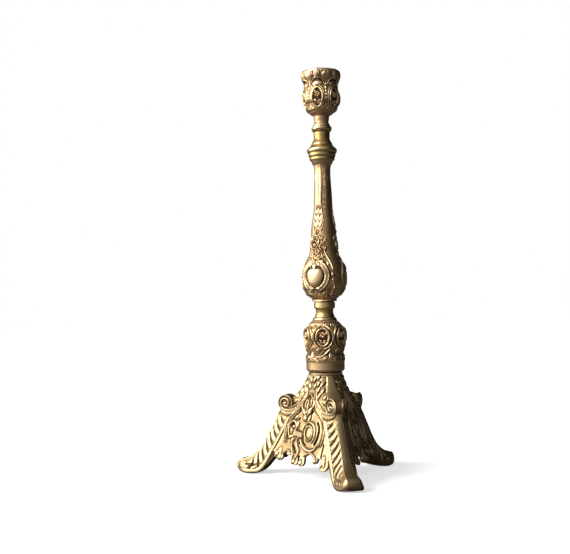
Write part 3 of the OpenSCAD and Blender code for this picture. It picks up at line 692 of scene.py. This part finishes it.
def panelOrnament(sheet):
    # the middle scroll, the strap and the leafwork round the piercings
    sheet["h"] += sheet["base"]
    faceOrnament(sheet)
    # middle scroll: a smooth oval eye inside two bands
    rib(sheet, [(1.0, 43.4), (5.2, 44.6), (9.6, 43.0), (12.0, 39.0), (12.2, 33.6), (10.2, 29.6)], 2.3, 0.75,
        (0.5, 1, 1, 0.5))
    rib(sheet, [(4.4, 30.4), (7.8, 31.8), (9.5, 35.4), (8.9, 39.6), (5.8, 41.8), (2.4, 40.4), (1.3, 36.4), (2.6, 32.8),
                (4.8, 31.8)], 1.8, 0.7, (0.5, 1, 1, 1, 0.7))
    dome(sheet, 5.5, 36.6, 4.6, 2.9, 0.35, 96)
    groove(sheet, [(3.6, 33.2), (3.1, 36.4), (4.2, 39.8)], 0.8, 0.5, (0.3, 1, 0.3))
    rib(sheet, [(-2.4, 31.2), (0.8, 27.0), (4.8, 24.4), (10.0, 23.6), (14.4, 25.2), (17.4, 28.6)], 2.6, 0.7,
        (0.6, 1, 1, 0.6))
    # strap of three rounded strands between bars
    u, z = strap["place"]
    half, slant = strap["half"], strap["slant"]
    for rise in strap["outline"]:
        groove(sheet, [(u - half, z + rise + slant), (u + half, z + rise - slant)], 1.1, 0.6, (0.5, 1, 0.5))
    for rise in strap["strands"]:
        rib(sheet, [(u - half, z + rise + slant), (u + half, z + rise - slant)], 1.4, 1.2, base=0.3)
    for end in (-1, 1):
        a, middle = u + end * (half + 0.3), z - slant * end
        rib(sheet, [(a, middle - strap["bar"]), (a, middle + strap["bar"])], 1.2, 1.2)
    # left comma and its leaves
    rib(sheet, [(-9.4, 37.4), (-9.2, 41), (-11.4, 44.0), (-15.0, 44.0), (-17.6, 41.0), (-17.6, 36.8), (-15.8, 33.4)],
        2.1, 0.75, (0.6, 1, 1, 1, 0.5))
    dome(sheet, -12.4, 40.0, 1.6, 1.6, 0.7)
    several(leaf, sheet, [(-8.6, 38.0, 86, 8.6, 3.6, 0.8), (-11.6, 33.4, 200, 7.0, 3.4, 0.7),
                          (-10.2, 31.8, 236, 6.2, 3.2, 0.7), (-13.8, 45.6, 36, 6.6, 2.6, 0.6)])
    # leafwork under the strap
    several(rib, sheet, [
        ([(-4.6, 32.6), (-6.2, 29.6), (-5.2, 26), (-2.4, 22.4), (-3.2, 18.4), (-5.0, 15.2)], 2.2, 0.75,
         (0.6, 1, 1, 0.8)),
        ([(-9.8, 31), (-11.4, 27.6), (-10.2, 23.6), (-8.0, 20.2), (-7.6, 16.0)], 1.9, 0.65, (0.6, 1, 0.8))])
    # hem: its arches, curled ends and shells
    for a, h, r in ((-26.6, 18.6, 2.4), (-22.4, 16.4, 2.5), (-5.4, 14.6, 2.2), (2.6, 14.4, 2.2), (17.6, 17.2, 1.9)):
        dome(sheet, a, h, r, r, 0.7)
    for tilt in (235, 262, 290):
        leaf(sheet, 26.6, 20.6, tilt, 8.4, 3.4, 0.7, vein=0.1)
    dome(sheet, 26.6, 20.4, 2.2, 1.6, 0.6)
    for tilt in (240, 275):
        leaf(sheet, -22.6, 23.6, tilt, 7.6, 3.0, 0.5, vein=0.1)
    several(rib, sheet, [([(4.6, 19.0), (9.4, 21.8), (14.6, 21.0), (18.2, 18.4)], 1.5, 0.4, (0.5, 1, 0.6)),
                         ([(-18.6, 19.8), (-14.8, 21.8), (-11.0, 20.6)], 1.4, 0.4, (0.5, 1, 0.6))])


# piercings: lines with a width, in face places
piercings = [(curve(line), width) for line, width in (
    ([(13.2, 44.2), (15.4, 40.6), (15.6, 36), (14.6, 31.6), (13.0, 28.6)], 2.2),
    ([(-0.4, 41), (-1.6, 38.4)], 1.2), ([(-12.6, 42.3), (-14.8, 41.6), (-15.2, 39.6), (-13.4, 38)], 1.5),
    ([(-13.2, 37.6), (-14.0, 34)], 1.4), ([(-18.2, 32.2), (-17.2, 30)], 1.2), ([(-7.6, 46.6), (-9.0, 45.2)], 1.2),
    ([(5.6, 55.4), (4.4, 52.4)], 1.3), ([(4.4, 47.6), (3.8, 45.4)], 1.2), ([(-3.4, 28.2), (-3.4, 27.9)], 1.3),
    ([(-9.6, 25.6), (-7.8, 23.4), (-6.0, 20.8)], 1.5), ([(-0.2, 31), (1.2, 28.8), (3.4, 27.2)], 1.0),
    ([(23.4, 28.8), (22.9, 24), (22.8, 20.4)], 1.4))]
drops = ((-26.8, 18.4, 3.2), (-22.4, 16.4, 3.4), (-13.4, 19.8, 2.0), (-6.2, 14.8, 2.8), (-3.6, 14.2, 2.6),
         (3.4, 14.4, 3.0), (17.6, 17.2, 2.6), (28.2, 14.6, 4.2))
# each arch of the hem as its rise, middle and width
hem = dict(z=18.8, arches=((2.0, 10.5, 3.4), (1.2, -15, 2.4)), neck=0.72, neckRise=2)


def panelDistance(t, z):
    # signed distance to the pierced outline, negative inside: unions are least values, cuts greatest
    sheet = makeSheet(t, z)
    inside = hem["z"] + sum(rise * np.exp(-((t - a) / wide) ** 2) for rise, a, wide in hem["arches"]) - z
    for a, h, r in drops:
        circle = np.hypot(t - a, z - h) - r
        neckBar = np.maximum(abs(t - a) - hem["neck"] * r, np.maximum(h - z, z - hem["z"] - hem["neckRise"]))
        inside = np.minimum(inside, np.minimum(circle, neckBar))
    inside = np.maximum(inside, np.maximum(z - foot["crownFoot"] + 0.02, (abs(t) - panelEdge(z)) * 0.9))
    for line, width in piercings:
        pick, away, _ = distanceTo(sheet, line, 6)
        flat = inside.ravel()
        flat[pick] = np.maximum(flat[pick], width / 2 - away)
        inside = flat.reshape(t.shape)
    return inside


panel = dict(cell=0.27, thickness=3.2, rim=0.7, low=9.5, half=34, snap=0.56)


def addPanel(name, azimuth, node):
    # a face's height field on a grid, cut to the pierced outline by moving the nearest grid points onto it,
    # with a flat back and walls along every edge
    cell = panel["cell"]
    t, z = np.meshgrid(np.arange(-panel["half"], panel["half"] + cell, cell),
                       np.arange(panel["low"], foot["crownFoot"] + 3 * cell, cell))
    away = panelDistance(t, z)
    slopeZ, slopeT = np.gradient(away, cell)
    steep = slopeT ** 2 + slopeZ ** 2 + 1e-9
    near = abs(away) < panel["snap"] * cell
    t = np.where(near, t - away * slopeT / steep, t)
    z = np.where(near, z - away * slopeZ / steep, z)
    kept = near | (away < 0)
    sheet = makeSheet(t, z, foot["field"])
    panelOrnament(sheet)
    edge = np.clip(1 + np.where(near, 0, away) / panel["rim"], 0, 1)
    h = sheet["h"] - 0.55 * panel["rim"] * edge ** 2
    cavity = recess(np.where(kept, h, h.min() + 0.4), (cell, cell))
    quads = gridFaces(*t.shape)
    corners = kept.ravel()[quads]
    whole = quads[corners.all(1)]
    three = quads[corners.sum(1) == 3]
    triangles = three[kept.ravel()[three]].reshape(-1, 3)
    # number the points in use and find the edges that only one face has
    used = np.unique(np.concatenate([whole.ravel(), triangles.ravel()]))
    number = np.full(t.size, -1)
    number[used] = np.arange(len(used))
    whole, triangles = number[whole], number[triangles]
    sides = np.concatenate([faces[:, [k, (k + 1) % faces.shape[1]]]
                            for faces in (whole, triangles) for k in range(faces.shape[1])])
    _, place, times = np.unique(np.sort(sides, 1), axis=0, return_index=True, return_counts=True)
    rim = sides[place[times == 1]]
    n = faceReach(z)
    turn = math.radians(azimuth)

    def standing(reach):
        # the grid at a reach from the axis, turned to the face's azimuth
        x, y = reach * math.cos(turn) - t * math.sin(turn), reach * math.sin(turn) + t * math.cos(turn)
        return np.stack([x, y, z], -1).reshape(-1, 3)[used]

    front, back = standing(n + h), standing(n - panel["thickness"])
    count = len(used)
    quads = np.concatenate([whole, whole[:, ::-1] + count,
                            np.stack([rim[:, 1], rim[:, 0], rim[:, 0] + count, rim[:, 1] + count], 1)])
    triangles = np.concatenate([triangles, triangles[:, ::-1] + count])
    shade = np.concatenate([cavity.ravel()[used], np.full(count, backShade)])
    return addPiece(name, np.concatenate([front, back]), quads, shade,
                    footBrass, "stand", [node], triangles)


for name, azimuth, node in zip(("panelRight", "panelRear", "panelLeft"), foot["panelAngles"],
                               ("panel_right", "panel_rear", "panel_left")):
    addPanel(name, azimuth, node)
print("pierced panels made")


crown = dict(turned=[(26.5, 62), (20.8, 68.3), (17.7, 73), (15.7, 77), (14.1, 80.4)],
             inside=[(3.4, 80.4), (3.4, 74), (10, 74), (10, 72), (14, 63), (14, 62.02)], columns=384, rows=56, soft=0.7,
             bandHeights=[60, 66, 72, 80.4], bandEdges=[20.4, 15.8, 13.0, 10.2], bandRise=0.1)


def crownOrnament(sheet):
    # plump laurel leaves with slits beside them, between a plain middle and a smooth ridge band
    t, z = sheet["u"], sheet["z"]
    sheet["h"] += sheet["base"] * np.clip((80.0 - z) / 1.2, 0, 1)
    faceOrnament(sheet)
    leaves = ((3.2, 77.0), (6.6, 79.0), (7.6, 73.8), (4.0, 71.6), (8.4, 69.0), (10.8, 65.0), (11.2, 73.6), (13.2, 68.4),
              (17.4, 64.4))
    for a, h in leaves:
        dome(sheet, a - 1.3, h + 0.3, 2.8, 1.6, 0.4, 66, both=True)
    for a, h in leaves:
        groove(sheet, [(a - 0.3, h - 1.9), (a + 0.9, h + 1.7)], 1.5, 1.5, (0.35, 1, 0.45), both=True)
    groove(sheet, [(3.2, 67.6), (3.0, 64.6)], 0.9, 0.7, (0.4, 1, 0.4), both=True)
    # the smooth ridge band
    band = np.clip((abs(t) - np.interp(z, crown["bandHeights"], crown["bandEdges"])) / 0.8, 0, 1)
    sheet["h"] = sheet["h"] * (1 - band) + crown["bandRise"] * band


def addCrown():
    # radius is the lesser of the turned outline and the flat sides, eased where they meet
    columns, rows, soft = crown["columns"], crown["rows"], crown["soft"]
    low, high = foot["crownFoot"] + 0.01, foot["crownTop"]
    turn = (np.arange(columns) * 2 * np.pi / columns)[None, :]
    z = np.linspace(low, high, rows)[:, None] + 0 * turn
    away = (turn - math.radians(foot["panelAngles"][0]) + np.pi / 3) % (2 * np.pi / 3) - np.pi / 3
    stationR, stationZ = zip(*crown["turned"])
    side = faceReach(z) / np.cos(away)
    r = -soft * np.log(np.exp(-np.interp(z, stationZ, stationR) / soft) + np.exp(-side / soft))
    sheet = makeSheet(r * np.sin(away), z, foot["field"])
    crownOrnament(sheet)
    flat = np.ones((1, columns))
    inR, inZ = np.array(crown["inside"]).T
    allR = np.vstack([r + sheet["h"], inR[:, None] * flat])
    allZ = np.vstack([z, inZ[:, None] * flat])
    # the cells' height and their mean width, from a mean way round of 100 mm
    cavity = recess(sheet["h"], ((high - low) / rows, 100 / columns), True)
    cavity = np.vstack([cavity, np.full((len(inR), columns), backShade)])
    faces = gridFaces(*allR.shape, closedRows=True, closedColumns=True)
    return addPiece("baseCrown", sweptPoints(allR, allZ, turn), faces, cavity, footBrass, "stand", ["base_crown"])


addCrown()
print("crown made")


# ---- legs: rails for the ridge and the border, (reach, z) pairs from the crown to the toe's tip ----

leg = dict(
    ridge=[(26.5, 61.98), (32, 57), (38, 52), (42.4, 43.9), (47.2, 35.1), (51.8, 26.6), (56, 20.2), (59.8, 16.4),
           (63.6, 13.7), (67.6, 12.0), (71.2, 11.2), (73.9, 10.2), (75.5, 8.0), (75.9, 5.6)],
    border=[(18.6, 61.98), (21.2, 57), (24.5, 52), (28.9, 43.9), (33.7, 35.1), (38.3, 26.6), (42.6, 19.4), (45.6, 13.4),
            (49.3, 7.0), (54.2, 2.2), (60.6, 0.9), (66.8, 1.1), (71.6, 2.0), (74.6, 3.4)],
    halfWidth=[10.3] * 11 + [9.9, 8.0, 5.0],
    band=[5.7, 3.6, 2.6, 2.5, 2.5, 2.6, 2.9, 3.3, 3.8, 4.4, 4.9, 5.0, 4.6, 3.6],
    bulge=[0] * 6 + [0.3, 0.7, 0.9, 1.0, 1.0, 0.8, 0.5, 0.2],
    hollow=[1] * 6 + [0.75, 0.25] + [0] * 6,
    wall=8.4, field=-0.25, edgeBand=(1.7, 1.8, 0.35), toeLeaf=13, tip=6, tipRise=0.3, bandRise=0.35,
    scrollsFrom=46.5, scrollsOver=2.0, sole=(0.35, 0.5), soleInset=0.03, lowest=0.02, faceColumns=52, bandColumns=14,
    rows=260)


def rails(count):
    # the rails and the widths at evenly spaced places along them
    along = np.cumsum([0] + [math.dist(a, b) + math.dist(c, d) for a, b, c, d in
                             zip(leg["ridge"], leg["ridge"][1:], leg["border"], leg["border"][1:])])
    even = np.linspace(0, along[-1], count)
    cells = len(along) - 1
    fine = np.interp(even, along, np.arange(cells + 1)) * 8
    made = {}
    for key in ("ridge", "border", "halfWidth", "band", "bulge", "hollow"):
        values = np.array(leg[key], float).reshape(cells + 1, -1)
        smooth = curve(values, 8)
        made[key] = np.stack([np.interp(fine, np.arange(len(smooth)), c) for c in smooth.T], 1)
    return made


flutes = dict(count=9, start=17.2, pitch=6.7, inset=4.3, length=6.4, growth=1.1, longest=11.4, slant=66, slantStep=2.6,
              lastStep=7, bend=0.5)


def legOrnament(sheet, end):
    # slanting teardrop flutes between plump ribs, a hollow leaf in the toe and a broad smooth border round it all
    y, x, f = sheet["u"], sheet["z"], sheet["base"]
    for k in range(flutes["count"]):
        low = np.array([flutes["inset"], flutes["start"] + flutes["pitch"] * k])
        length = min(flutes["length"] + flutes["growth"] * k, flutes["longest"])
        slant = math.radians(flutes["slant"] - flutes["slantStep"] * min(k, flutes["lastStep"]))
        high = low + [length * math.sin(slant), -length * math.cos(slant)]
        line = curve([low, (low + high) / 2 + flutes["bend"], high])
        rib(sheet, line + [0.6, 3.1], 4.0, 0.15, (0.7, 1, 0.9, 0.6))
        groove(sheet, line, 2.2, 1.25, (0.9, 1, 0.7, 0.25))
    # hollow leaf of the toe
    toe = end - leg["toeLeaf"]
    groove(sheet, [(6.6, toe - 5), (7.6, toe), (8.0, toe + 4.5)], 3.6, 0.9, (0.3, 1, 1, 0.5))
    # border: one broad smooth band along the edge and round the tip
    edge = np.minimum(y, (end - x) * 0.9 + 0.8)
    middle, half, height = leg["edgeBand"]
    bead = f + (height - f) * np.sqrt(np.clip(1 - ((edge - middle) / half) ** 2, 0, 1))
    # it flattens over the last stretch before the tip
    tipward = np.clip((end - x) / leg["tip"] - 1, 0, 1)
    bead = np.maximum(sheet["h"], bead * tipward + leg["tipRise"] * (1 - tipward))
    sheet["h"] = np.where(abs(edge - middle) < half, bead, sheet["h"])
    sheet["h"] -= 0.5 * np.clip(1 - edge / 0.7, 0, 1) ** 2
    # smooth towards the ridge band
    ease = np.clip((sheet["across"] - y) / 1.6, 0, 1)
    sheet["h"] = sheet["h"] * ease + 0.1 * (1 - ease)


def legShell():
    # across the leg: border, flat face, ridge band, face, border, all on straight lines between the rails
    rows, n, m = leg["rows"], leg["faceColumns"], leg["bandColumns"]
    r = rails(rows)
    q = np.concatenate([np.linspace(0, 1, n), np.ones(m), np.linspace(1, 0, n)])[None, :]
    side = np.concatenate([np.full(n, -1.0), np.linspace(-1, 1, m + 2)[1:-1], np.ones(n)])[None, :]
    onBand = np.concatenate([np.zeros(n), np.ones(m), np.zeros(n)])[None, :]
    away = np.where(onBand > 0, abs(side) * r["band"], r["halfWidth"] + (r["band"] - r["halfWidth"]) * q)
    s = np.sign(side) * away
    reach = r["border"][:, :1] + (r["ridge"][:, :1] - r["border"][:, :1]) * q
    z = r["border"][:, 1:] + (r["ridge"][:, 1:] - r["border"][:, 1:]) * q
    # the toe's faces belly outwards, and the band is crowned
    swell = r["bulge"] * np.sin(np.pi * q) * (1 - onBand)
    crownRise = leg["bandRise"] * (1 - (away / np.maximum(r["band"], 1)) ** 2) * onBand
    base = np.stack([reach, s, z], -1)
    normal = np.cross(np.gradient(base, axis=0), np.gradient(base, axis=1))
    normal /= np.linalg.norm(normal, axis=-1, keepdims=True) + 1e-9
    if normal[rows // 2, n + m // 2, 0] < 0:
        normal = -normal
    # the surface's own flat coordinates: y across from the border, x along from the crown
    middle = (r["border"] + r["ridge"]) / 2
    tangent = np.gradient(middle, axis=0)
    step = np.hypot(*tangent.T)
    xMid = np.cumsum(step)[:, None]
    tangent /= step[:, None]
    span = r["ridge"] - r["border"]
    alongSpan = (span * tangent).sum(1)[:, None]
    acrossSpan = np.sqrt((r["halfWidth"] - r["band"]) ** 2 + (span ** 2).sum(1)[:, None] - alongSpan ** 2)
    y = q * acrossSpan
    x = xMid + alongSpan * (q - 0.5)
    h = np.zeros(base.shape[:2])
    left, right = slice(0, n), slice(n + m, None)
    cell = (float(np.mean(step)), float(acrossSpan.mean() / n))
    for part, sign in ((left, 1), (right, -1)):
        sheet = makeSheet(y[:, part], x[:, part], leg["field"])
        sheet["across"] = acrossSpan
        sheet["h"] += leg["field"]
        legOrnament(sheet, float(xMid[-1, 0]))
        # above the flutes the face's own scrolls run across
        t = sign * (reach[:, part] * sin60 - abs(s[:, part]) * cos60)
        upper = makeSheet(t, z[:, part], foot["field"])
        upper["h"] += foot["field"]
        faceOrnament(upper)
        blend = np.clip((z[:, part] - leg["scrollsFrom"]) / leg["scrollsOver"], 0, 1)
        h[:, part] = sheet["h"] * (1 - blend) + upper["h"] * blend
    rise = h + swell + crownRise
    outer = base + normal * rise[..., None]
    # inside: the wall's thickness in along the reach where the leg is hollow, and a flat sole under the toe
    hollow = np.clip(r["hollow"], 0, 1)
    inReach = (reach - leg["wall"]) * hollow + (r["border"][:, :1] + 0 * q) * (1 - hollow)
    drop, belly = leg["sole"]
    solidZ = r["border"][:, 1:] - drop - belly * (1 - (s / foot["legHalf"]) ** 2)
    inZ = np.maximum(z * hollow + solidZ * (1 - hollow), leg["lowest"])
    inner = np.stack([inReach, s * (1 - leg["soleInset"] * (1 - hollow)), inZ], -1)
    cavity = recess(h, cell)
    return outer, inner, cavity


def slab(outer, inner):
    # two grids of points joined along all four sides
    rows, columns = outer.shape[:2]
    count = rows * columns
    number = np.arange(count).reshape(rows, columns)
    ring = np.concatenate([number[0, :-1], number[:-1, -1], number[-1, :0:-1], number[:0:-1, 0]])
    after = np.roll(ring, -1)
    faces = gridFaces(rows, columns)
    walls = np.stack([after, ring, ring + count, after + count], 1)
    points = np.concatenate([outer.reshape(-1, 3), inner.reshape(-1, 3)])
    return points, np.concatenate([faces, faces[:, ::-1] + count, walls])


volute = dict(reach=33, z=57.4, radius=7.0, endAngle=70, nose=6.2, turns=1.3, field=-0.9, waist=0.75, shade=0.36,
              ringColumns=26, rollColumns=22, around=128)


def voluteShell():
    # a roll across the ridge: round each end a disc with a spiral in relief, and a waisted band between them
    v, radius = volute, volute["radius"]
    a = (np.arange(v["around"]) * 2 * np.pi / v["around"])[:, None]
    c, s = math.cos(math.radians(v["endAngle"])), math.sin(math.radians(v["endAngle"]))
    end = (v["reach"] + radius) * c + v["nose"] / 2 * s

    def standing(r, halfWidths):
        # halfWidths turns the disc's own half width at each reach into the place across the leg
        reach = v["reach"] + r * np.cos(a)
        return np.stack([reach, halfWidths(reach), v["z"] + r * np.sin(a)], -1)

    rho = radius * np.linspace(0.02, 1, v["ringColumns"])[None, :]
    sheet = makeSheet(rho * np.cos(a), rho * np.sin(a), v["field"])
    sheet["h"] += v["field"]
    rib(sheet, spiral(0, 0, radius - 1.1, 1.7, -110, 360 * v["turns"], 90), 2.3, 0.2, (1, 1, 0.9, 0.8))
    rib(sheet, oval(0, 0, radius - 0.5, radius - 0.5), 1.2, 0.1)
    dome(sheet, 0, 0, 1.5, 1.5, 0.5)
    right = standing(rho, lambda reach: (end - reach * c) / s + sheet["h"])
    # the roll: its half width at each angle, waisted and rimmed
    w = np.linspace(-1, 1, v["rollColumns"] + 2)[None, 1:-1]
    rim = (end - (v["reach"] + radius * np.cos(a)) * c) / s
    roll = standing(radius - v["waist"] * (1 - w ** 6), lambda reach: w * rim)
    points = np.concatenate([right * [1, -1, 1], roll, right[:, ::-1]], 1)
    shade = recess(sheet["h"], (0.25, 0.28))
    cavity = np.concatenate([shade, np.full(roll.shape[:2], v["shade"]), shade[:, ::-1]], 1)
    rows, columns = points.shape[:2]
    faces = gridFaces(rows, columns, closedRows=True)
    # a fan closes each end at the disc's middle
    first = np.arange(rows) * columns
    last, hub = first + columns - 1, np.full(rows, rows * columns)
    fans = np.concatenate([np.stack([first, np.roll(first, -1), hub], 1),
                           np.stack([np.roll(last, -1), last, hub + 1], 1)])
    ends = [points[:, 0].mean(0), points[:, -1].mean(0)]
    points = np.concatenate([points.reshape(-1, 3), ends])
    return points, faces, fans, np.concatenate([cavity.ravel(), [0.2, 0.2]])


outer, inner, legCavity = legShell()
legPoints, legFaces = slab(outer, inner)
rollPoints, rollFaces, rollFans, rollCavity = voluteShell()
if signedVolume(legPoints, legFaces) < 0:
    legFaces = legFaces[:, ::-1]
if signedVolume(rollPoints, rollFaces) < 0:
    rollFaces, rollFans = rollFaces[:, ::-1], rollFans[:, ::-1]
allPoints = np.concatenate([legPoints, rollPoints])
allFaces = np.concatenate([legFaces, rollFaces + len(legPoints)])
allCavity = np.concatenate([legCavity.ravel(), np.full(legCavity.size, backShade), rollCavity])
for name, azimuth, node in zip(("legFront", "legRight", "legLeft"), foot["legAngles"],
                               ("leg_front", "leg_right", "leg_left")):
    c, s = math.cos(math.radians(azimuth)), math.sin(math.radians(azimuth))
    addPiece(name, allPoints @ np.array([[c, s, 0], [-s, c, 0], [0, 0, 1]]), allFaces, allCavity, footBrass, "stand",
             [node], rollFans + len(legPoints))
print("legs made")


# ---- camera, floor and lights ----

camera = dict(place=(-176.5, -678.1, 131.6), turn=12, tilt=2.3, roll=0.85, lens=54.57)


def addCamera(c):
    # forward turns from +Y towards +X, tilts up, then the view rolls about it
    turn, tilt = math.radians(c["turn"]), math.radians(c["tilt"])
    forward = Vector((math.sin(turn) * math.cos(tilt), math.cos(turn) * math.cos(tilt), math.sin(tilt)))
    right = Vector((math.cos(turn), -math.sin(turn), 0))
    up = right.cross(forward)
    roll = math.radians(c["roll"])
    axisX = right * math.cos(roll) - up * math.sin(roll)
    axisY = right * math.sin(roll) + up * math.cos(roll)
    data = bpy.data.cameras.new("camera")
    data.sensor_width = 36
    data.lens = c["lens"]
    data.clip_start, data.clip_end = 0.01, 50
    cam = bpy.data.objects.new("camera", data)
    m = Matrix((axisX, axisY, -forward)).transposed().to_4x4()
    m.translation = Vector(c["place"]) * mm
    cam.matrix_world = m
    bpy.context.collection.objects.link(cam)
    bpy.context.scene.camera = cam
    return cam


studio = dict(worldLeft=0.52, worldRight=0.008, leftward=(-0.86, -0.36, 0.25), worldSpan=(-0.35, 0.9),
              sun=dict(energy=2.65, angle=math.radians(30)), sunFrom=(-0.93, -0.34, 0.6),
              box=dict(shape="DISK", size=0.7, energy=4.2), boxPlace=(-0.9, 0.2, 0.4), boxTarget=(0, 0, 0.15),
              floorSize=12, floorShade=0.9, floorUnseen=0.1, floorGlow=0.62)


def addLight(name, kind, values, place, target):
    # a lamp at one place that looks at another
    data = bpy.data.lights.new(name, kind)
    for key, value in values.items():
        setattr(data, key, value)
    lamp = bpy.data.objects.new(name, data)
    lamp.location = place
    lamp.rotation_euler = (Vector(target) - Vector(place)).to_track_quat("-Z", "Y").to_euler()
    bpy.context.collection.objects.link(lamp)


def grey(shade):
    # an opaque grey
    return (shade, shade, shade, 1)


def addStudio(s):
    # a broad soft sun from the front left and a soft box at the left
    addLight("broadSun", "SUN", s["sun"], s["sunFrom"], (0, 0, 0))
    addLight("softBox", "AREA", s["box"], s["boxPlace"], s["boxTarget"])

    # the backdrop is seen white but lights dimly, more from the left than from the right
    world = bpy.data.worlds.new("studio")
    world.use_nodes = True
    bpy.context.scene.world = world
    tree = world.node_tree
    tree.nodes.clear()
    way = addNode(tree, "ShaderNodeTexCoord").outputs["Generated"]
    left = addNode(tree, "ShaderNodeVectorMath", {0: way, 1: s["leftward"]}, operation="DOT_PRODUCT").outputs["Value"]
    light = between(tree, left, *s["worldSpan"], (s["worldRight"], s["worldLeft"]))
    dim, bright = (addNode(tree, "ShaderNodeBackground", {"Color": grey(1), "Strength": strength}).outputs[0]
                   for strength in (light, 1.0))
    seen = addNode(tree, "ShaderNodeLightPath").outputs["Is Camera Ray"]
    mix = addNode(tree, "ShaderNodeMixShader", {0: seen, 1: dim, 2: bright}).outputs[0]
    addNode(tree, "ShaderNodeOutputWorld", {"Surface": mix})

    bpy.ops.mesh.primitive_plane_add(size=s["floorSize"])
    floor = bpy.context.object
    floor.name = "floor"
    paper, tree, shader = newMaterial("whitePaper")
    for label, value in (("Roughness", 0.9), ("Specular IOR Level", 0.1), ("Emission Color", grey(1))):
        shader[label].default_value = value
    # the glow is seen but lights nothing, like the backdrop
    seen = addNode(tree, "ShaderNodeLightPath").outputs["Is Camera Ray"]
    tree.links.new(combine(tree, "MULTIPLY", seen, s["floorGlow"]), shader["Emission Strength"])
    tree.links.new(mixColour(tree, seen, grey(s["floorUnseen"]), grey(s["floorShade"])), shader["Base Color"])
    floor.data.materials.append(paper)


addCamera(camera)
addStudio(studio)
bpy.context.scene.view_settings.view_transform = "Standard"
print("camera and studio set")
